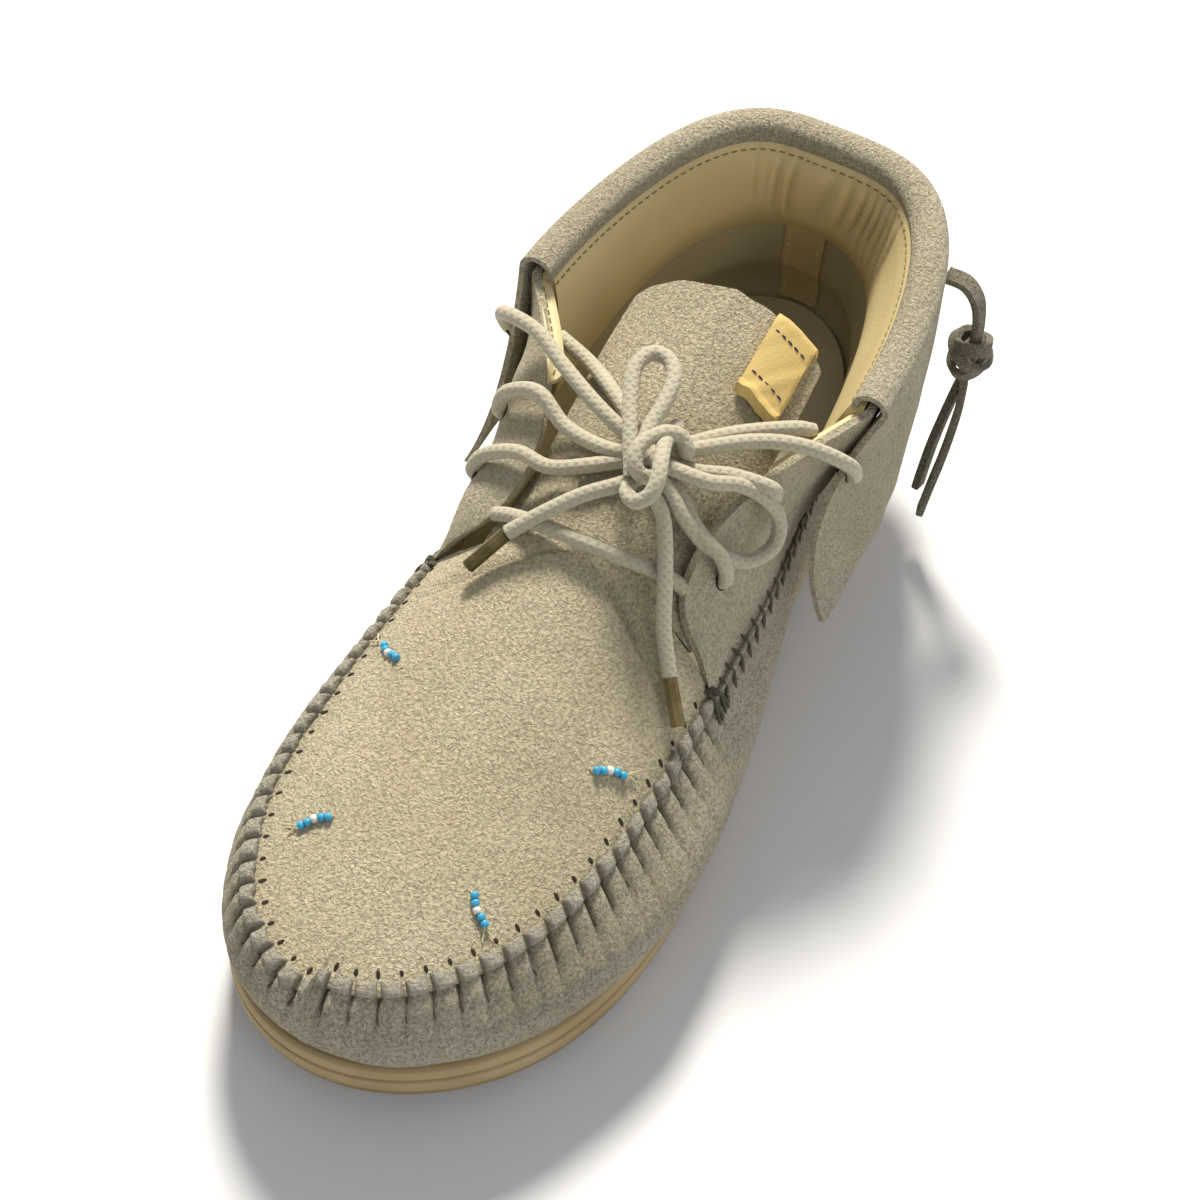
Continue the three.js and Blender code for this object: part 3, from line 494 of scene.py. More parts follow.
# Meshes
# welds equal points, drops faces that close up, and keeps each corner's uv and tints
def addPiece(name, points, quads, material, slot, node=None, uv=None, tints=None, sharp=40):
    points = place3(points).reshape(-1, 3)
    keys = np.round(points * 1e6).astype(np.int64)
    _, first, back = np.unique(keys, axis=0, return_index=True, return_inverse=True)
    back = back.reshape(-1)
    welded = back[quads]
    dup = welded == np.roll(welded, -1, axis=1)
    keep = dup.sum(1) < 2
    welded, dup, source = welded[keep], dup[keep], quads[keep]
    counts = welded.shape[1] - dup.sum(1)
    corners = welded[~dup]
    mesh = bpy.data.meshes.new(name)
    mesh.vertices.add(len(first))
    mesh.vertices.foreach_set("co", points[first].ravel())
    mesh.loops.add(len(corners))
    mesh.loops.foreach_set("vertex_index", corners)
    mesh.polygons.add(len(counts))
    mesh.polygons.foreach_set("loop_start", np.concatenate([[0], np.cumsum(counts)[:-1]]))
    mesh.polygons.foreach_set("use_smooth", np.ones(len(counts), bool))
    if uv is not None:
        layer = mesh.uv_layers.new(name="uv")
        layer.data.foreach_set("uv", uv.reshape(-1, 2)[source][~dup].ravel())
    for key, values in (tints or {"shade": np.zeros(len(points))}).items():
        layer = mesh.attributes.new(key, "FLOAT", "CORNER")
        layer.data.foreach_set("value", np.asarray(values, float).reshape(-1)[source][~dup])
    mesh.update(calc_edges=True)
    mesh.validate()
    mesh.set_sharp_from_angle(angle=math.radians(sharp))
    mesh.materials.append(materials[material])
    piece = bpy.data.objects.new(name, mesh)
    bpy.context.collection.objects.link(piece)
    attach(piece, "root")
    if node:
        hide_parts(node)
    return piece


# the four corners of every cell of a grid of columns and rows, wrapped round where closed
def gridQuads(columns, rows, closedColumns=False, closedRows=False, flip=False):
    i = np.arange(columns if closedColumns else columns - 1)[:, None]
    j = np.arange(rows if closedRows else rows - 1)
    i2, j2 = (i + 1) % columns, (j + 1) % rows
    corners = np.broadcast_arrays(i * rows + j, i2 * rows + j, i2 * rows + j2, i * rows + j2)
    quads = np.stack(corners, -1).reshape(-1, 4)
    return quads[:, ::-1] if flip else quads


# a sheet with a wall: the outer grid, the inner grid turned over, and strips along the edges
def sheetQuads(columns, rows, closedColumns=False):
    count, last = columns * rows, (columns - 1) * rows
    parts = [gridQuads(columns, rows, closedColumns), gridQuads(columns, rows, closedColumns, flip=True) + count]
    i, j = np.arange(columns if closedColumns else columns - 1) * rows, np.arange(rows - 1)
    i2 = (i + rows) % count
    edges = [(i, i2, 1), (i + rows - 1, i2 + rows - 1, -1)]
    edges += [] if closedColumns else [(j, j + 1, -1), (last + j, last + j + 1, 1)]
    for a, b, turn in edges:
        parts.append(np.stack([a, a + count, b + count, b], -1)[:, ::turn])
    return np.concatenate(parts)


# a sheet with a wall as a piece, from its two grids; the tints are on the first one
def addSheet(name, outer, inner, material, slot, node=None, turned=False, closed=False, tints=None, sharp=60):
    blank = np.zeros(outer.shape[:2])
    both = {key: np.stack([blank + tint, blank]) for key, tint in (tints or {"shade": 0}).items()}
    quads = sheetQuads(*blank.shape, closedColumns=closed)
    return addPiece(name, np.stack([outer, inner]), quads[:, ::-1] if turned else quads, material, slot, node,
                    tints=both, sharp=sharp)


# a smooth curve through control points: Catmull-Rom pieces, then resampled to even steps
def curveThrough(points, step):
    p = np.asarray(points, float)
    p = np.concatenate([[2 * p[0] - p[1]], p, [2 * p[-1] - p[-2]]])
    t = np.linspace(0, 1, 24, endpoint=False)[:, None]
    dense = [0.5 * (2 * b + (c - a) * t + (2 * a - 5 * b + 4 * c - d) * t ** 2 + (3 * b - a - 3 * c + d) * t ** 3)
             for a, b, c, d in zip(p[:-3], p[1:-2], p[2:-1], p[3:])]
    dense = np.concatenate([*dense, p[-2:-1]])
    run = arcLength(dense)
    at = np.linspace(0, run[-1], max(4, int(run[-1] / step) + 1))
    return np.stack([np.interp(at, run, dense[:, k]) for k in range(3)], -1), at


# frames along a path: each side vector is the last one less its part along the new direction
def framesAlong(path, up=(0.3, 0.2, 1.0)):
    forward = unit(np.gradient(path, axis=0))
    sideways = np.zeros_like(path)
    across = np.cross(forward[0], up)
    for i, f in enumerate(forward):
        across = across - f * (across @ f)
        across = across / np.linalg.norm(across)
        sideways[i] = across
    return sideways, np.cross(sideways, forward)


# the closed surface of a cord: its grid with a point at each end
def cordFaces(columns, rows):
    j = np.arange(rows)
    j2, first, far = (j + 1) % rows, 0 * j + columns * rows, (columns - 1) * rows
    caps = [np.stack([first, first, j, j2], -1), np.stack([first + 1, first + 1, far + j2, far + j], -1)]
    return np.concatenate([gridQuads(columns, rows, closedRows=True, flip=True), *caps])


# round cords as one piece: each path plus the radius times cosine and sine of the angle in its frames
def addCords(name, routes, radius, material, slot, node=None, step=0.8, around=14):
    points, uvs, quads, start = [], [], [], 0
    angle = np.arange(around) * 2 * np.pi / around
    for controls in routes:
        path, run = curveThrough(controls, step)
        across, up = framesAlong(path)
        ring = across[:, None] * np.cos(angle)[:, None] + up[:, None] * np.sin(angle)[:, None]
        uv = np.stack(np.broadcast_arrays(run[:, None], angle / (2 * np.pi)), -1)
        points += [(path[:, None] + ring * radius).reshape(-1, 3), path[:1], path[-1:]]
        uvs += [uv.reshape(-1, 2), [[0, 0]], [[0, 0]]]
        quads.append(cordFaces(len(path), around) + start)
        start += len(path) * around + 2
    return addPiece(name, np.concatenate(points), np.concatenate(quads), material, slot, node, uv=np.concatenate(uvs))


# one mesh from several pairs of points and faces
def together(parts):
    starts = np.cumsum([0] + [len(points) for points, _ in parts])
    return np.concatenate([p for p, _ in parts]), np.concatenate([q + s for (_, q), s in zip(parts, starts)])


# The run of the seam: columns at even steps of arc from the toe round the outer side, the heel and back
def seamRun(step):
    fine = np.linspace(0, 4, 4000)
    result = []
    for side in (1.0, -1.0):
        run = arcLength(upperPoint(side, fine, 1.0))
        at = np.linspace(0, run[-1], int(run[-1] / step) + 1)
        result.append((np.full(len(at), side), np.interp(at, run, fine), at))
    return result


# the same as one closed loop
def closedRun(step):
    return [np.concatenate([outer, inner[-2:0:-1]]) for outer, inner in zip(*seamRun(step))]


# Whipstitches: one every pitch of arc, from the toe's middle back to the throat's corners
gather = dict(pitch=6.3, valley=0.62, depth=1.5, reach=4.6, flute=0.3, fluteReach=6.0, bandWidth=3.9, bandRise=1.5,
              flatWidth=1.8, flatRise=1.1, holeIn=5.4)
# a tab's section: shares of its width inwards and of its rise
tabProfile = [(0.0, 0.3), (0.05, 0.62), (0.13, 0.86), (0.3, 1.0), (0.5, 1.02), (0.7, 1.0), (0.86, 0.94), (0.95, 0.72),
              (1.0, 0.3), (1.0, -0.6)]


# distance along the seam to the nearest stitch, and that stitch's number; the outer side counts up
def nearestStitch(side, run):
    signed = side * run + gather["pitch"] / 2
    number = np.round(signed / gather["pitch"])
    return signed - number * gather["pitch"], number


# how much of the gathering is left: 1 over the toe, 0 behind the throat's corners
def gathered(place):
    return 1 - smooth((place - 1.75) / 0.3)


# the wall's face below the seam: pushed in at each stitch, fluted between them, both fading downwards
def wallFace(side, place, run, rows):
    away, number = nearestStitch(side, run)
    amount = gathered(place)
    lively = 1 + 0.25 * wander(number * 7.3, 41.0, 3)
    notch = (hill(away, gather["valley"]) * amount * lively)[:, None]
    below = (1 - rows)[None, :] * seamHeight(place)[:, None]
    normal = upperNormal(side[:, None], place[:, None], np.minimum(rows, 0.985)[None, :])
    flute = np.cos(2 * np.pi * away / gather["pitch"])[:, None] * amount[:, None] * lively[:, None]
    push = -notch * gather["depth"] * np.exp(-below / gather["reach"])
    push = push - flute * gather["flute"] * np.exp(-below / gather["fluteReach"])
    push = push + 0.9 * hill(below - 1.8, 2.6) * (1 - 0.5 * notch)
    push = push + 0.4 * wander(run * side, 63.0, 5)[:, None] * hill(below - 16, 9)
    face = upperPoint(side[:, None], place[:, None], rows[None, :]) + normal * push[..., None]
    return face, notch, below, amount, number


# the wall, with its top edge turned in over the plug as a row of tabs between the stitches
def makeWall():
    side, place, run = closedRun(0.58)
    rows = np.concatenate([np.linspace(0, 0.6, 12), np.linspace(0.63, 1, 22)])
    face, notch, below, amount, number = wallFace(side, place, run, rows)
    inward = unit(upperPoint(side, place, 1.08) - upperPoint(side, place, 1.0))
    lift = upperNormal(side, place, 1.06)
    lump = 1 - notch[:, 0]
    uneven = 1 + 0.12 * wander(number * 5.1, 33.0, 8) * amount
    wide = mix(gather["flatWidth"], gather["bandWidth"], amount) * (1 - 0.12 * notch[:, 0]) * uneven
    wide = wide + 0.25 * wander(run * side, 5.3, 18) * amount
    tall = mix(gather["flatRise"], gather["bandRise"], amount) * (0.1 + 0.9 * lump)
    tall = tall + 0.3 * wander(number * 3.7, 29.0, 9) * amount * lump
    ripple = 0.16 * wander(run * side + 40, 3.1, 19)
    band = [face[:, -1] + inward * (wide * a)[:, None] + lift * (tall * b + ripple * (0.1 < a < 0.9))[:, None]
            for a, b in tabProfile]
    outer = np.concatenate([face, np.stack(band, 1)], 1)
    inner = offsetPoint(side[:, None], place[:, None], np.linspace(0, 1, outer.shape[1]), -sizes["suede"])
    deep = np.clip(notch, 0, 1) ** 0.7
    shade, raw = np.zeros((2, *outer.shape[:2]))
    # painted shade: dark in the pushed-in notches and fading down the wall, darker towards the bottom, in the tabs'
    # valleys and under the tabs' turned-in edge
    shade[:, :rows.size] = 0.85 * deep * np.exp(-below / 3.6) + 0.2 * smooth((below - 12) / 18)
    shade[:, rows.size:] = 0.8 * deep
    shade[:, -2:] += 0.45
    raw[:, rows.size + 1:-1] = amount[:, None]
    tints = {"shade": np.clip(shade, 0, 1), "raw": raw}
    addSheet("puckeredWall", outer, inner, "wall", "upper_suede", "upper", closed=True, tints=tints, sharp=65)


# where the stitches stand: every pitch round the toe, from one throat corner to the other
def stitchRun():
    result = []
    for side, place, run in seamRun(0.42):
        at = np.arange(0.5, run[-1] / gather["pitch"]) * gather["pitch"]
        where = np.interp(at, run, place)
        result.append((np.full(len(at), side[0])[where < 1.93], where[where < 1.93]))
    return [np.concatenate(parts) for parts in zip(*result)]


# the seam's height over the bed there
def seamHeight(place):
    station = stationAt(angleOf(place))
    return read(last, "x", "seam", station) - read(last, "x", "bed", station)


# the face a distance of arc in from the seam, of the plug or of a quarter
def seamUp(side, place, distance):
    step = np.linalg.norm(upperPoint(side, place, 1.1) - upperPoint(side, place, 1.0), axis=-1)
    return upperPoint(side, place, 1 + 0.1 * distance / step)


# whipstitches of the gathered edge: out of a hole in the plug, over the edge in its notch, into the wall
def makeWhipstitches():
    side, place = stitchRun()
    lift, wallOut = upperNormal(side, place, 1.06), upperNormal(side, place, 0.9)
    seam, height = upperPoint(side, place, 1.0), seamHeight(place)
    low, mid = (upperPoint(side, place, 1 - down / height) for down in (4.2, 2.2))
    hole, under, edge, beyond = (seamUp(side, place, gather["holeIn"] + more) for more in (0, -0.9, -3, 1))
    slant = unit(np.cross(lift, wallOut)) * (0.5 * side[:, None])
    paths = np.stack([hole - lift * 0.9, hole - lift * 0.15, under - lift * 0.45, edge - lift * 0.3,
                      seam - lift * 0.1 - wallOut * 1.2, mid - wallOut * 0.75,
                      low - wallOut * 0.1 + slant, low - wallOut * 1.4 + slant], 1)
    addCords("whipstitches", paths, 0.3, "stitch", "upper_suede", step=0.9, around=6)
    longer = 1 + 0.25 * np.random.default_rng(4).uniform(-1, 1, len(side))
    makeHoles("stitchHoles", zip(hole, lift, unit(beyond - hole), longer, 0 * longer + 0.55))


# the flat seam behind the throat: slanting stitches over the quarter's lower edge, and a knot of them at each corner
def makeQuarterStitches():
    def above(place, up, proud):
        return seamUp(s, place, up) + upperNormal(s, place, 1.05) * proud
    routes = []
    for side, place, run in seamRun(0.42):
        s, start = side[:1], np.interp(1.99, place, run)
        at = np.arange(start + 3, run[-1] - 2, 5.2)
        jitter = np.random.default_rng(6).uniform(-0.5, 0.5, len(at))
        a, b = np.interp(at, run, place), np.interp(at + 2.4 + jitter, run, place)
        low = 1 - 3.1 / seamHeight(a)
        routes.append(np.stack([
            offsetPoint(s, a, low, -0.6), offsetPoint(s, a, low + 0.02, 0.55),
            offsetPoint(s, mix(a, b, 0.35), 0.98, 1.75), offsetPoint(s, mix(a, b, 0.7), 1.03, 1.7),
            above(b, 3.0, 0.5), above(b, 3.9, -0.7)], 1))
        for shift, lean in ((-3.5, 1.5), (-1.6, -1.0), (0.3, 1.2), (2.0, -1.4)):
            a, b = np.interp([start + shift, start + shift + lean], run, place)
            routes.append(np.stack([
                offsetPoint(s, a, 1 - 3.4 / seamHeight(a), -0.4), offsetPoint(s, a, 1 - 2.4 / seamHeight(a), 1.2),
                offsetPoint(s, mix(a, b, 0.5), 1.0, 2.2), above(b, 3.4, 1.4),
                above(b, 4.8, 0.6), above(b, 5.4, -0.8)], 1))
    addCords("quarterStitches", np.concatenate(routes), 0.5, "stitch", "upper_suede", around=7)


# Finished faces that holes, beads and cord ends are laid on, as grids of points
faces = {}


# the grid's nearest point to the given one and its normal, turned away from the middle of the boot
def nearestOn(name, point):
    grid = faces[name]
    flat = grid.reshape(-1, 3)
    near = int(np.argmin(np.linalg.norm(flat - np.asarray(point, float), axis=1)))
    i = min(max(near // grid.shape[1], 1), grid.shape[0] - 2)
    j = min(max(near % grid.shape[1], 1), grid.shape[1] - 2)
    normal = unit(np.cross(grid[i + 1, j] - grid[i - 1, j], grid[i, j + 1] - grid[i, j - 1]))
    outward = normal @ (grid[i, j] - np.array([100.0, 5.0, 40.0]))
    return grid[i, j], normal * np.sign(outward)


# flat dark discs of painted shade where the holes are, each a point, a normal, a direction and its half length and
# half width
def makeHoles(name, discs):
    angle = np.arange(12) * 2 * np.pi / 12
    rings = ((1.0, -0.25), (0.92, 0.14), (0.5, 0.2), (0.01, 0.2), (0.01, -0.3), (1.0, -0.3))
    parts = []
    for point, normal, along, long, wide in discs:
        along = unit(along - normal * (along @ normal))
        ring = along * (np.cos(angle) * long)[:, None] + np.cross(normal, along) * (np.sin(angle) * wide)[:, None]
        grid = np.concatenate([point + ring * r + normal * h for r, h in rings])
        parts.append((grid, gridQuads(len(rings), len(angle), closedRows=True)))
    addPiece(name, *together(parts), "hole", "upper_suede")


# Soft dents and swells of the plug: centre x, y, direction in degrees, half length, half width, height
plugFolds = [
    (172, -8, 70, 26, 6, -0.9), (186, 14, 60, 30, 9, 0.7), (205, -16, 95, 34, 12, -0.5), (214, 20, 100, 24, 10, -0.6),
    (240, 2, 90, 30, 12, 0.5), (165, 24, 40, 22, 5, -0.8), (196, 34, 20, 18, 6, 0.5), (228, -26, 120, 20, 7, 0.5),
]


# The trough on the plug's outer side and the hollow behind it: middle, half length and width, depth, and the tint of
# painted shade in each
plugTrough = dict(x=178, y=25.5, lean=0.3, long=21, wide=5.5, deep=0.9, tint=0.13)
plugHollow = dict(x=162, y=21, long=9, wide=12, deep=0.5, tint=0.28)


# the folds' height there: each is its height times one hill along its direction and one across it
def foldHeight(x, y):
    total = 0
    for cx, cy, degrees, long, wide, height in plugFolds:
        c, s = math.cos(math.radians(degrees)), math.sin(math.radians(degrees))
        total = total + height * hill((x - cx) * c + (y - cy) * s, long) * hill((y - cy) * c - (x - cx) * s, wide)
    return total


# the plug: the upper's face with its dents, a trough on the outer side and a hollow behind, both a little darker with
# painted shade, and painted shade along the seam
def makePlug():
    places = np.concatenate([np.linspace(0, 1, 110), np.linspace(1, 2, 50)[1:]])[:, None]
    rows = 1 + np.linspace(0, 1, 46) ** 0.9
    grids, tints, t, h = [], [], plugTrough, plugHollow
    for side in (1.0, -1.0):
        points = upperPoint(side, places, rows)
        x, y = points[..., 0], points[..., 1]
        fade = smooth((rows - 1.1) / 0.3)
        ahead = x - t["x"]
        trough = hill(ahead, t["long"]) * hill(y - t["y"] - t["lean"] * ahead, t["wide"]) * fade
        hollow = hill(x - h["x"], h["long"]) * hill(y - h["y"], h["wide"]) * fade
        swell = foldHeight(x, y) * smooth((rows - 1.02) / 0.3) - t["deep"] * trough - h["deep"] * hollow * (places > 1)
        onRidge = ((rows > 2 - 1e-6) & (places <= 1))[..., None]
        normal = np.where(onRidge, [0.0, 0, 1], upperNormal(side, places, rows))
        grids.append(points + normal * swell[..., None])
        # painted shade along the seam under the tabs' valleys, in the trough and in the hollow behind it
        seamShade = 0.25 * hill((rows - 1.0) * 60, 5.0) + 0.65 * hill((rows - 1.0) * 60, 2.6)
        tints.append(seamShade + t["tint"] * trough + h["tint"] * hollow)
    faces["outerPlug"], faces["innerPlug"] = grids
    points, tint = (np.concatenate([outer[::-1], inner[1:]]) for outer, inner in (grids, tints))
    addPiece("plug", points, gridQuads(*tint.shape, flip=True), "plug", "upper_suede", tints={"shade": tint}, sharp=80)


# the tongue carries on from the plug's back edge; its sides run under the quarters
def makeTongue():
    u, v = np.linspace(-1, 1, 90)[:, None], np.linspace(0, 1, 80)
    frontX = read(throat, "share", "x", 0.66 * np.abs(u)) + 0.4
    corner = 73.6 + 2.4 * np.abs(u) ** 10 + 0.35 * wander(u * 30, 22.0, 31)
    x = mix(corner, frontX, v)
    half = read(tongue, "x", "half", x) + 1.4 * smooth((x - 128) / 20)
    half = half + 5.5 * smooth((x - 132) / 12) * smooth((u - 0.3) / 0.7)
    y = read(ridge, "x", "y", x) + u * half
    curl = 0.8 * np.exp(-v * 9) * (0.5 + 0.5 * wander(u * 20, 30.0, 12))
    outer = np.stack([x, y, tongueHeight(x, y) + curl - 0.25 * smooth((x - 148) / 2)], -1)
    slopes = [(tongueHeight(x - a, y - b) - tongueHeight(x + a, y + b)) / 2 for a, b in ((1, 0), (0, 1))]
    normal = unit(np.stack([*slopes, np.ones_like(x)], -1))
    addSheet("tongueSuede", outer, outer - normal * sizes["tongue"], "tongue", "tongue_suede", "tongue", turned=True)


# columns round the ankle from the outer front corner past the heel to the inner one
def ankleRun(places):
    side = np.repeat([1.0, -1.0], [len(places), len(places) - 1])
    return side[:, None], np.concatenate([places, places[-2::-1]])[:, None]


# the quarters: the upper's face above the seam, a little slack, with a fold and painted shade along the seam
def makeQuarters():
    side, place = ankleRun(np.concatenate([np.linspace(2, 3, 90), np.linspace(3, 4, 90)[1:]]))
    rows = np.linspace(1.0, 2.0, 44)
    face, normal = upperPoint(side, place, rows), upperNormal(side, place, rows)
    push = 0.5 * wander(face[..., 0] + face[..., 2] * 1.6, 46.0, 14) * hill(rows - 1.45, 0.35)
    push = push + 0.9 * hill((rows - 1.0) * 30, 2.2)
    outer, half = face + normal * push[..., None], len(place) // 2
    faces["outerQuarter"], faces["innerQuarter"] = outer[:half], outer[half:]
    addSheet("quarters", outer, face - normal * sizes["suede"], "quarter", "upper_suede",
             tints={"shade": 0.75 * hill((rows - 1.0) * 30, 2.6)}, sharp=55)


padShape = dict(row=[1.3, 1.36, 1.44, 1.52, 1.61, 1.7, 1.78, 1.86, 1.96, 2.0],
                thick=[0.2, 1.8, 3.6, 4.6, 5.0, 5, 4.9, 4.6, 3.6, 2.6])


# the lining pad's inner face: the upper's, moved in by the suede, the pad's thickness and its wrinkles
def liningFace(side, place, rows, proud=0.0):
    across = np.where(side > 0, place - 3, 5 - place)
    wrinkle = 0
    for at, slant, wide, deep in liningWrinkles:
        distance = across - at - slant * (rows - 1.7)
        crease = hill(distance, wide) - 0.5 * hill(distance - 2.2 * wide, 1.4 * wide)
        wrinkle = wrinkle + deep * crease * hill(rows - 1.7, 0.2)
    inward = read(padShape, "row", "thick", rows) - wrinkle + proud
    outer = offsetPoint(side, place, rows, -sizes["suede"] - 0.6)
    return outer - upperNormal(side, place, rows) * inward[..., None], outer, wrinkle


# the pad round the collar, with fine stitches just under the roll
def makeLining():
    rows = np.linspace(1.3, 2.0, 50)
    inner, outer, wrinkle = liningFace(*ankleRun(np.linspace(3, 4, 210)), rows)
    # painted shade in the wrinkles' folds and along the top row under the roll
    tints = {"shade": np.clip(wrinkle * 0.3 + 0.35 * hill(rows - 2.0, 0.025), 0, 0.6)}
    pad = addSheet("collarLining", inner, outer, "lining", "lining_leather", "collar_lining", turned=True, tints=tints)
    fine, routes = np.linspace(3.0, 4.0, 900), []
    for side in (1.0, -1.0):
        run = arcLength(liningFace(side, fine, 1.945)[0])
        where = np.interp(np.arange(2.0, run[-1], 2.7)[:, None] + [0, 0.3, 0.9, 1.5, 1.8], run, fine)
        routes.append(liningFace(side, where, 1.945, [-0.4, 0.12, 0.2, 0.12, -0.4])[0])
    addCords("collarStitches", np.concatenate(routes), 0.22, "tanStitch", "lining_leather", step=0.5, around=6)


# Lining wrinkles behind the ankle: place round the collar, slant, width and depth
liningWrinkles = [
    (0.66, 0.3, 0.010, 0.7), (0.72, 0.22, 0.009, 0.8), (0.775, 0.2, 0.010, 1.0), (0.825, 0.16, 0.009, 0.9),
    (0.88, 0.1, 0.010, 1.1),
    (0.935, 0.05, 0.009, 1.0), (0.985, -0.04, 0.010, 0.9), (1.04, -0.1, 0.009, 0.8), (1.1, -0.14, 0.012, 0.7),
    (1.2, -0.1, 0.012, 0.4),
    (0.6, 0.25, 0.012, 0.4),
]


# the cuff: the roll and the turned-down flap, with slow waves, creases and an uneven hem
def makeCuff():
    side, place = ankleRun(np.linspace(3, 4, 170))
    turns = np.concatenate([np.linspace(200, 4, 26), np.zeros(44)])
    drops = np.concatenate([np.zeros(26), np.linspace(0.02, 1, 44)])
    face, aroundCollar = cuffPoint(side, place, turns, drops, 0.0), (place - 3) * side
    push = 0.9 * wander(face[..., 0] + face[..., 2] * 0.7, 74.0, 21) * smooth(drops / 0.4)
    for at, slant, wide, deep in cuffCreases:
        crease = hill(aroundCollar - at - slant * (drops - 0.5), wide)
        push = push - deep * crease * smooth(drops / 0.25) * (1 - 0.4 * drops)
    hemWave = 1.1 * wander(aroundCollar * 160, 57.0, 23) * smooth((drops - 0.8) / 0.2)
    normal = collarNormal(side[:, 0], place[:, 0])[:, None]
    outer = face + normal * push[..., None] + np.array([0, 0, 1.0]) * hemWave[..., None]
    half, inner = len(place) // 2, outer + cuffPoint(side, place, turns, drops, 1.6) - face
    faces["outerCuff"], faces["innerCuff"] = outer[:half, 26:], outer[half:, 26:]
    addSheet("cuffSuede", outer, inner, "cuff", "cuff_suede", "cuff", turned=True)


# Creases of the cuff: place round the collar, slant, width and depth
cuffCreases = [(0.2, 0.05, 0.03, 0.8), (0.45, -0.06, 0.04, 0.9), (0.8, 0.05, 0.03, 0.7), (-0.3, 0.05, 0.04, 0.8),
               (-0.7, -0.04, 0.03, 0.6)]


# A lofted sole layer: at each station a loop of points, bottom from inner to outer, up the side, and back
def soleLoops(sideRings, columns=190, across=24):
    angle = np.linspace(0, np.pi, columns)
    x = stationAt(angle)
    w = np.linspace(-1, 1, across)
    low, high = sideRings[0], sideRings[-1]

    def edge(side, ring):
        grow, height = ring
        return np.stack([*outline(side, angle, grow), height(x)], -1)

    def span(ring, shares):
        a, b = edge(-1, ring), edge(1, ring)
        return a[:, None] + (b - a)[:, None] * ((shares + 1) / 2)[None, :, None]

    bottom = span(low, w)
    outerSide = np.stack([edge(1, r) for r in sideRings[1:-1]], 1)
    top = span(high, w[::-1])
    innerSide = np.stack([edge(-1, r) for r in sideRings[-2:0:-1]], 1)
    return np.concatenate([bottom, outerSide, top, innerSide], 1)


# the midsole's top, a little under the bed
def bedHeight(x):
    return read(last, "x", "bed", x) - 0.3


# where the outsole meets the midsole
def splitHeight(x):
    return read(ground, "x", "split", x)


# the outsole's underside, never under the floor
def groundHeight(x):
    return np.maximum(0, read(ground, "x", "low", x))


# Side profiles from the bottom up: millimetres out from the last, and the share of the height (in mm for the insole)
midsoleSide = [
    (1.0, 0), (2.2, 0.03), (2.5, 0.1), (2.4, 0.18), (2.75, 0.34), (2.8, 0.5), (2.6, 0.53), (1.7, 0.555), (1.5, 0.595),
    (1.7, 0.635), (2.5, 0.66), (2.75, 0.7), (2.6, 0.8), (2.3, 0.9), (2.0, 0.96), (1.2, 1.0)]
outsoleSide = [(-1.0, 0), (0.4, 0.12), (1.3, 0.3), (1.6, 0.45), (1.75, 0.75), (1.8, 0.95), (1.6, 1.0)]
insoleSide = [(-3.5, 0), (-2.9, 1.2), (-3.2, 3.0)]


# one layer of the sole, from its loops
def addSole(name, loops, material, slot, node, tints=None):
    addPiece(name, loops, gridQuads(*loops.shape[:2], closedRows=True), material, slot, node, tints=tints, sharp=50)


# the midsole from the split to the bed, the outsole from the ground to the split with its grooves, and the insole
def makeSole():
    rings = [(grow, lambda x, s=share: mix(splitHeight(x) + 0.3, bedHeight(x), s)) for grow, share in midsoleSide]
    loops = soleLoops(rings)
    tint = np.zeros(loops.shape[:2])
    # painted shade in the side groove and along the top and bottom edges
    sideShade = [0.35 if 0.54 < s < 0.65 else (0.2 if s < 0.06 or s > 0.95 else 0.0) for _, s in midsoleSide]
    tint[:, 24:22 + len(sideShade)] = sideShade[1:-1]
    tint[:, 2 - len(sideShade):] = sideShade[-2:0:-1]
    addSole("midsoleFoam", loops, "midsole", "midsole_foam", "midsole", {"shade": tint})
    rings = [(grow, lambda x, s=share: mix(groundHeight(x), splitHeight(x), s)) for grow, share in outsoleSide]
    loops = soleLoops(rings, columns=420)
    x, j = loops[..., 0], np.arange(loops.shape[1])
    groove = sum(smooth((1.7 - np.abs(x - station)) / 0.5) for station in lugStations)
    reach = 1.8 * groove * np.clip(1 - (loops[..., 2] - groundHeight(x)) / 2.0, 0, 1)
    loops[..., 2] += reach * ((j < 27) | (j > len(j) - 3))
    addSole("outsoleRubber", loops, "outsole", "outsole_rubber", "outsole")
    rings = [(grow, lambda x, h=height: read(last, "x", "bed", x) + h) for grow, height in insoleSide]
    addSole("insoleBoard", soleLoops(rings, columns=120), "insole", "insole_leather", "insole")


# Grooves across the outsole, in millimetres from the heel
lugStations = [22, 36, 50, 64, 146, 160, 174, 188, 202, 218, 234, 250]


# the boot's lower lining: the upper's inner face moved in a little more, from the bed to under the collar pad
def makeInside():
    side, place, _ = closedRun(3.0)
    keep = np.clip(np.linspace(0.02, 1.5, 24), 0, np.where(place < 2.2, 1.0, 1.5)[:, None])
    face = offsetPoint(side[:, None], place[:, None], keep, -sizes["suede"] - 0.35)
    quads = gridQuads(*keep.shape, closedColumns=True, flip=True)
    addPiece("innerLining", face, quads, "inside", "upper_suede", sharp=80)
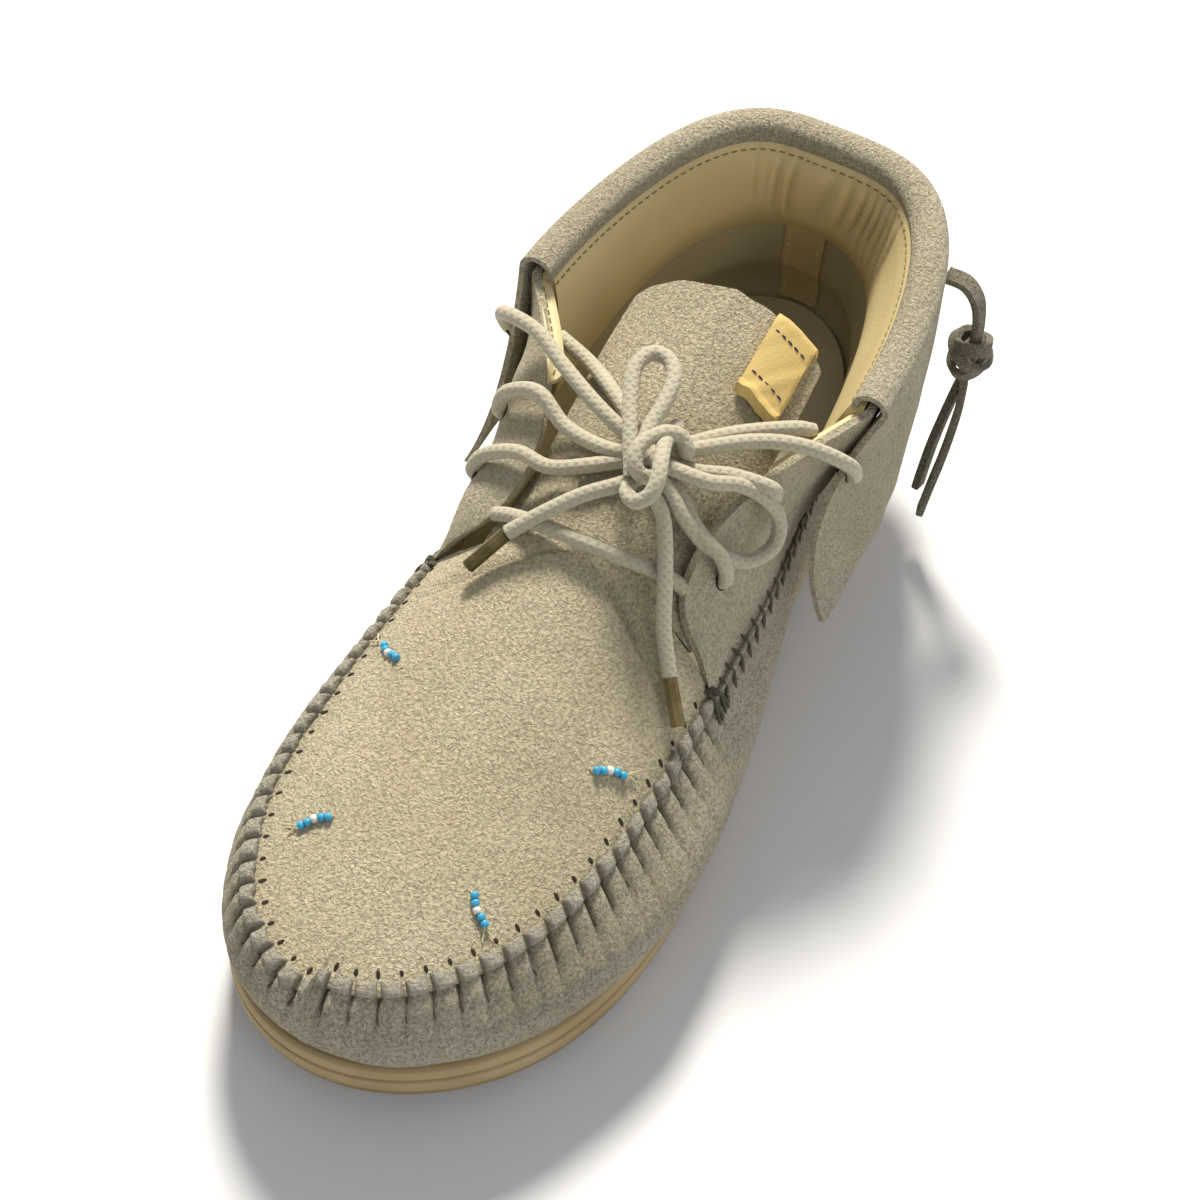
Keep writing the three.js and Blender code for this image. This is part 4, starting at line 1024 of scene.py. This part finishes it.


# Lace routes, as in the part
hub = [125.5, 10.5, 95.2]
laceBars = [
    [hub, [113, -6, 95.3], [102, -19, 90.3], [97.5, -31, 90.5]],
    [hub, [121, -6, 98], [113, -22, 99], [107, -33, 100], [103, -45, 97], [100, -52, 87]],
    [hub, [129, 0, 95], [125.5, -14, 92], [121, -24.5, 94.6], [120, -34, 88.5], [120.5, -37.5, 80]],
    [hub, [134, -3, 92], [136, -13, 87.5], [135, -22.5, 86.5], [134.5, -32, 79.4], [135.2, -37.6, 71]],
    [hub, [119, 18, 98], [110.5, 26.5, 98.5], [101, 37, 97], [96.5, 41, 94]],
    [hub, [121, 20, 99], [112, 32, 100], [107, 43, 99.5], [101, 53, 92.5], [93, 60.5, 79]],
    [hub, [131, 20, 94], [136, 29, 88.8], [136.5, 36.5, 83], [134.5, 41.5, 73]],
    [hub, [125, 22, 96], [121.5, 31, 95.8], [119, 40.5, 94], [118, 45.5, 86]],
]
lowestBar = [[147.5, -17, 77.6], [150, -8, 82.7], [151, 5, 85], [148.5, 18, 82.6], [145.5, 26, 78.9]]
bowLoop = [[131, 13.5, 100.5], [130.1, 19.4, 99.6], [128.5, 27.4, 98.5], [123.6, 33.5, 96], [120.6, 39.4, 91.5],
           [119.5, 43.8, 84.5], [123.1, 44.7, 78.5],
           [129.7, 41.3, 77.5], [133.6, 36.3, 80.5], [136.6, 31.1, 86], [136.3, 24.9, 92], [134.3, 20.4, 95.5],
           [132.5, 14.5, 98]]
upperLoop = [[138.5, 11, 101], [131.7, 6.9, 104.5], [122.6, 1.8, 107.5], [113.9, -1.6, 109.8], [107.9, 0, 110.6],
             [107.8, 4.7, 110.6],
             [112.3, 8.4, 110.2], [119.5, 9.7, 109], [126.4, 9.6, 107.5], [130.9, 10.4, 106.5]]
innerEnd = [[136, 12.5, 99], [139.5, 8, 96.8], [144, 0.5, 92.8], [150, -7, 87.3], [155.5, -13.5, 81.5]]
outerEnd = [[137.2, 16.3, 96.5], [139, 20.5, 92.5], [143.5, 24, 87.5], [149.5, 27.5, 82], [157.5, 32, 74.5],
            [164, 37.5, 67]]


# Where each bar ends: None runs under an edge, else it dives into that face through a hole
barFaces = [None, "innerCuff", "innerQuarter", "innerQuarter", None, "outerCuff", "outerQuarter", "outerQuarter"]
knotTurns = [
    [[121, 17.5, 97.5], [124.7, 19.2, 101], [123.6, 16.9, 104], [125.8, 13.6, 106.2], [130.6, 10.8, 107],
    [135.2, 10.2, 106.2], [138.3, 12, 104],
     [137.3, 14.6, 101.5], [132.3, 16, 99]],
    [[118, 13, 100.5], [122.5, 13.9, 103], [128.5, 14.6, 105.5], [135.4, 17, 107], [140.5, 18.8, 106],
    [144, 18.4, 103.6], [145.2, 15.4, 101],
     [142.4, 12, 99.6], [137.5, 10.8, 98.5]],
]


# the lace: bars that dive through holes or run under an edge, the knot, two loops and two ends
def makeLaces():
    routes, discs = [], []
    for route, face in zip(laceBars, barFaces):
        if face:
            point, normal = nearestOn(face, route[-1])
            toward = unit(np.array(route[-1], float) - np.array(route[-3], float))
            discs.append((point, normal, toward, 3.0, 2.6))
            route = route[:-1] + [point + normal * 2.0 - toward * 1.2, point - normal * 2.6 + toward * 0.8]
        routes.append(np.array(route, float))
    makeHoles("laceHoles", discs)
    lowest = [[146.5, -22, 74], *lowestBar, [144, 31.5, 74.6]]
    for name, paths, slot, node in (("laceBars", routes, "bars_cord", "lace_bars"),
                                    ("laceLowestBar", [lowest], "lowest_bar_cord", "lace_lowest_bar"),
                                    ("laceKnot", knotTurns, "knot_cord", "lace_knot")):
        addCords(name, paths, sizes["lace"], "cord", slot, node)
    for name, route, slot, node, aglet in (
            ("bowLoopCord", bowLoop, "bow_loop_cord", "lace_bow_loop", None),
            ("upperLoopCord", upperLoop, "upper_loop_cord", "lace_upper_loop", None),
            ("innerEndCord", innerEnd, "inner_end_cord", "lace_inner_end", "inner_aglet"),
            ("outerEndCord", outerEnd, "outer_end_cord", "lace_outer_end", "outer_aglet")):
        piece = addCords(name, [route], sizes["lace"], "cord", slot, node)
    for node in ("inner_aglet", "outer_aglet"):
        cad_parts[node].data.materials[0] = materials["aglet"]
    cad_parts["lace_keeper"].data.materials[0] = materials["keeper"]


# a point of the leather facing: so far in from the quarter's front edge, with a raised cord near the suede
def facingPoint(side, place, inward, lift):
    here = np.stack(crest(side, place), -1)
    run = unit(np.stack(crest(side, place + 0.02), -1) - np.stack(crest(side, place - 0.02), -1))
    across = unit(np.stack([-run[..., 1], run[..., 0], 0 * run[..., 0]], -1))
    across = across * np.sign((6.0 - here[..., 1]) * across[..., 1])[..., None]
    height = -0.5 - 0.55 * inward + 0.75 * hill(inward - 0.9, 0.55) + 0.3 * hill(inward - 4.0, 0.8) + lift
    return here + across * np.asarray(inward)[..., None] + np.array([0, 0, 1.0]) * height[..., None]


# the facings: leather strips inside both front edges, running down to a point, each with a row of stitches
def makeFacings():
    place, share = np.linspace(2.74, 2.995, 60), np.linspace(0.02, 1, 22)
    wide = 5.2 * smooth((place - 2.735) / 0.055) ** 0.8
    inward, sewn = wide[:, None] * share, np.minimum(2.5, 0.5 * wide)
    # painted shade just beyond the raised cord and along the edge by the suede
    tint = np.clip(0.35 * hill(inward - 1.8, 0.35) + 0.5 * hill(share, 0.06), 0, 1)
    for side, name in ((1.0, "outerFacing"), (-1.0, "innerFacing")):
        top, low = (facingPoint(side, place[:, None], inward, lift) for lift in (0.0, -1.3))
        addSheet(name, top, low, "facing", "lining_leather", turned=side > 0, tints={"shade": tint})
        run = arcLength(facingPoint(side, place, sewn, 0.0))
        where = np.interp(np.arange(4.0, run[-1] - 2.0, 2.6)[:, None] + [0, 0.25, 0.9, 1.55, 1.8], run, place)
        routes = facingPoint(side, where, np.interp(where, place, sewn), np.array([-0.3, 0.14, 0.22, 0.14, -0.3]))
        addCords(name + "Stitches", routes, 0.22, "tanStitch", "lining_leather", step=0.5, around=6)


# suede that closes the end of the cuff's roll: from the collar's edge and the quarter out to the roll and the flap,
# all darkened as painted shade
def makeGussets():
    turn = np.concatenate([np.linspace(172, 0, 14), np.zeros(10)])
    drop = np.concatenate([np.zeros(14), np.linspace(0.05, 0.5, 10)])
    row = np.concatenate([np.full(14, 2.0), np.linspace(1.96, 1.5, 10)])
    share, parts = np.linspace(0, 1, 8)[:, None], []
    for side in (1.0, -1.0):
        sheets = []
        for place in (3.05, 3.09):
            s, p = np.full(24, side), np.full(24, place)
            edge = np.stack(crest(s, p), -1) - collarNormal(s, p) * 1.1
            near = np.where((row >= 2)[:, None], edge, offsetPoint(s, p, row, 0.1))[:, None]
            sheets.append(mix(near, cuffPoint(s, p, turn, drop, 1.9)[:, None], share).reshape(-1, 3))
        quads = sheetQuads(24, 8)
        parts.append((np.concatenate(sheets), quads if side > 0 else quads[:, ::-1]))
    points, quads = together(parts)
    addPiece("cuffGussets", points, quads, "cuff", "cuff_suede", tints={"shade": np.full(len(points), 0.75)}, sharp=60)


# A strap's section, in half widths and half thicknesses
strapSection = [(-1, -0.5), (-0.9, -1), (0, -1), (0.9, -1), (1, -0.5), (1, 0.5), (0.9, 1), (0, 1), (-0.9, 1),
                (-1, 0.5)]


# a flat strap along a path: a rounded oblong in each frame, its width along the given direction
def strapMesh(route, width, thickness, across, closed=False):
    path = np.asarray(route, float) if closed else curveThrough(route, 1.0)[0]
    forward = unit(np.roll(path, -1, 0) - np.roll(path, 1, 0) if closed else np.gradient(path, axis=0))
    wide = np.broadcast_to(np.asarray(across, float), path.shape)
    wide = unit(wide - forward * np.sum(wide * forward, -1, keepdims=True))
    thick = np.cross(forward, wide)
    grid = np.stack([path + wide * (a * width / 2) + thick * (b * thickness / 2) for a, b in strapSection], 1)
    if closed:
        return grid.reshape(-1, 3), gridQuads(*grid.shape[:2], closedColumns=True, closedRows=True, flip=True)
    return np.concatenate([grid.reshape(-1, 3), path[:1], path[-1:]]), cordFaces(*grid.shape[:2])


# The thong: its loop and two ends, each a route, width, thickness and direction of the width; then the knot's flat
# turns, each its lift, tilts, half widths and the band's width
thongStraps = [
    ([[27, 48, 93], [27, 54, 92.5], [27.6, 58.3, 88], [28.4, 60.2, 80], [28.8, 60.5, 73]], 5.4, 2.0, (1, 0, 0)),
    ([[28.4, 57.6, 74], [29.6, 59.8, 66], [31.6, 61.4, 54], [35, 61.4, 38], [38.2, 60.6, 24], [40, 60, 14]],
     4.6, 2.1, (1, 0.25, 0)),
    ([[28, 61, 74], [28.2, 60.2, 66], [29, 58.6, 54], [31.4, 57, 38], [34, 56.6, 27], [35.5, 56.5, 19]],
     4.6, 2.1, (1, -0.15, 0))]
thongTurns = [(2.6, 0.45, 0.2, 5.6, 4.4, 4.2), (-2.2, -0.5, 0.25, 5.2, 4.3, 4.4), (0.4, 0.1, -0.75, 6.0, 4.8, 3.6)]
thongKnot = np.array([28.8, 59.8, 71.5])


# the thong by the heel: a loop out of the cuff, an overhand knot of flat turns and two ends
def makeThong():
    parts = [strapMesh(*strap) for strap in thongStraps]
    angle = np.arange(40) * 2 * np.pi / 40
    for lift, tiltX, tiltY, wide, deep, band in thongTurns:
        x, y = wide * np.cos(angle), deep * np.sin(angle)
        ring = np.stack([x, y, lift + x * tiltX + y * tiltY], -1)
        parts.append(strapMesh(thongKnot + ring, band, 1.9, unit(np.array([-tiltX, -tiltY, 1.0])), closed=True))
    addPiece("heelThong", *together(parts), "thong", "thong_suede", "heel_thong", sharp=50)


# The tag's run, x and height over the tongue
tagPath = [[87, -4.0], [80, -4.0], [76, -3.9], [73.8, -3.2], [72.7, -1.5], [73, 0.2], [74.4, 1.3], [77, 1.5],
           [86, 1.5],
           [94, 1.6], [96.6, 2.2], [97.8, 2.7]]


tag = dict(first=19.5, last=31, half=0.7, rolled=0.75, rollX=94.5, stitchRows=(78.5, 91.5))


# the tag: a leather strip folded over the tongue's top edge, its upper end rolled, with two rows of stitches
def makeTag():
    flat, _ = curveThrough([[x, 0, z] for x, z in tagPath], 0.6)
    forward = unit(np.gradient(flat, axis=0))
    normal = np.stack([-forward[:, 2], 0 * forward[:, 0], forward[:, 0]], -1)
    thick = tag["half"] + tag["rolled"] * smooth((flat[:, 0] - tag["rollX"]) / 2) * (flat[:, 2] > 0)
    y = np.linspace(tag["first"], tag["last"], 18)
    sheets = []
    for sign in (1, -1):
        profile = flat + normal * (thick * sign)[:, None]
        x = profile[:, :1] + 0.35 * wander(y, 9.0, 44) * (flat[:, :1] > 90)
        lift = profile[:, 2:3] + 0.25 * wander(y + x * 0.6, 12.0, 45) * (flat[:, 2:3] > 0)
        sheets.append(np.stack([x, np.broadcast_to(y, x.shape), tongueHeight(x, y) + lift], -1))
    addSheet("tongueTag", *sheets, "tag", "tag_leather", "tongue_tag", turned=True, sharp=50)
    across = np.arange(20.8, 29.5, 1.9)[:, None] + [0, 0.2, 0.6, 1.0, 1.2]
    routes = []
    for row in tag["stitchRows"]:
        x = np.full(across.shape, row)
        proud = tongueHeight(x, across) + 1.5 + tag["half"] + [-0.4, 0.1, 0.16, 0.1, -0.4]
        routes.append(np.stack([x, across, proud], -1))
    addCords("tagStitches", np.concatenate(routes), 0.24, "navy", "tag_leather", step=0.4, around=6)


# Beads: the row's two ends on the plug, and the end that its thread hangs from
beadRows = [
    ("innerPlug", [184.1, -33, 55.0], [190.1, -23.8, 59.9], 0), ("innerPlug", [233.4, -17.2, 52.7],
    [238.8, -23.2, 50.3], 1),
    ("outerPlug", [188.8, 38.9, 55.9], [192.3, 32.5, 58.7], 0), ("outerPlug", [234.8, 22.7, 51.8],
    [238.7, 28.3, 49.4], 1),
]


# A loose thread end beyond the row, out, aside and up; and the short one at its other end, out and up
beadTail = [(0.2, 0, 1.0), (1.2, 0.6, 0.9), (2.6, 1.8, 0.5), (3.6, 2.6, 0.5)]
beadStub = [(0.2, 0.9), (0.7, 0.6), (1.1, 0.1), (1.2, -0.5)]


beads = dict(pitch=1.78, proud=1.05, stray=0.35, bend=(-1.0, 0.4, 1.0, -0.2, -0.9))


# five beads to a row, each a ring profile turned about the row, and two thread ends beside the last
def makeBeads():
    profile = [(-0.82, 0.4), (-0.8, 0.72), (-0.55, 0.98), (0, 1.08), (0.55, 0.98), (0.8, 0.72), (0.82, 0.4)]
    angle = np.arange(14) * 2 * np.pi / 14
    colours, tails = dict(blueBead=[], whiteBead=[]), []
    for face, first, final, tail in beadRows:
        a, normal = nearestOn(face, first)
        b, _ = nearestOn(face, final)
        along = unit(b - a)
        normal = unit(normal - along * (normal @ along))
        across = np.cross(along, normal)
        for k, bend in enumerate(beads["bend"]):
            centre = (a + b) / 2 + along * (k - 2) * beads["pitch"] + normal * beads["proud"]
            centre = centre + across * (beads["stray"] * bend)
            ring = normal[None] * np.cos(angle)[:, None] + across[None] * np.sin(angle)[:, None]
            grid = np.stack([centre + along * t + ring * r for t, r in profile])
            key = "whiteBead" if k == 2 else "blueBead"
            ends = [[centre - along * 0.7], [centre + along * 0.7]]
            colours[key].append((np.concatenate([grid.reshape(-1, 3), *ends]), cordFaces(7, 14)[:, ::-1]))
        out = along * (1 if tail else -1)
        end, stub = (b, a) if tail else (a, b)
        for turn in (-0.5, 0.6):
            tails.append([end + out * far + across * turn * aside + normal * up for far, aside, up in beadTail])
        tails.append([stub - out * far + normal * up for far, up in beadStub])
    for key, parts in colours.items():
        addPiece(key + "s", *together(parts), key, "upper_suede", sharp=60)
    addCords("beadThreads", tails, 0.2, "paleStitch", "upper_suede", step=0.5, around=6)


stay = dict(half=6, thick=0.9, sewn=4.6, curve=0.012)


# the stay up the inside of the heel: a strip on the lower lining with a row of stitches by each edge
def makeHeelStay():
    forward, aside = np.array([1.0, 0, 0]), np.array([0, 1.0, 0])
    across = np.linspace(-stay["half"], stay["half"], 13)[:, None]
    line = offsetPoint(1.0, 3.999, np.linspace(0.15, 1.42, 40), -sizes["suede"] - 0.5)
    top = line[:, None] + forward * (1.0 + stay["curve"] * across ** 2) + aside * across
    addSheet("heelStay", top, top - forward * stay["thick"], "stay", "lining_leather", turned=True)
    routes = []
    for y in (-stay["sewn"], stay["sewn"]):
        sewn = line + np.array([1.0 + stay["curve"] * y * y, y, 0])
        run = arcLength(sewn)
        at = np.arange(2, run[-1] - 3, 3.0)[:, None] + [0, 0.4, 1.0, 1.6, 2.0]
        path = np.stack([np.interp(at, run, sewn[:, k]) for k in range(3)], -1)
        routes.append(path + np.array([-0.3, 0.1, 0.18, 0.1, -0.3])[:, None] * forward)
    addCords("stayStitches", np.concatenate(routes), 0.22, "paleStitch", "lining_leather", step=0.6, around=6)


print("stage: shapes")
floorMesh = bpy.data.meshes.new("floor")
floorMesh.from_pydata([(-3, -3, 0), (3, -3, 0), (3, 3, 0), (-3, 3, 0)], [], [(0, 1, 2, 3)])
floorMesh.materials.append(materials["floor"])
floorPiece = bpy.data.objects.new("floor", floorMesh)
bpy.context.collection.objects.link(floorPiece)

for make in (makeWall, makePlug, makeQuarters, makeWhipstitches, makeQuarterStitches, makeInside, makeHeelStay,
             makeBeads, makeTongue, makeLining, makeCuff, makeSole, makeFacings, makeGussets, makeTag, makeThong,
             makeLaces):
    make()
print("stage: pieces")
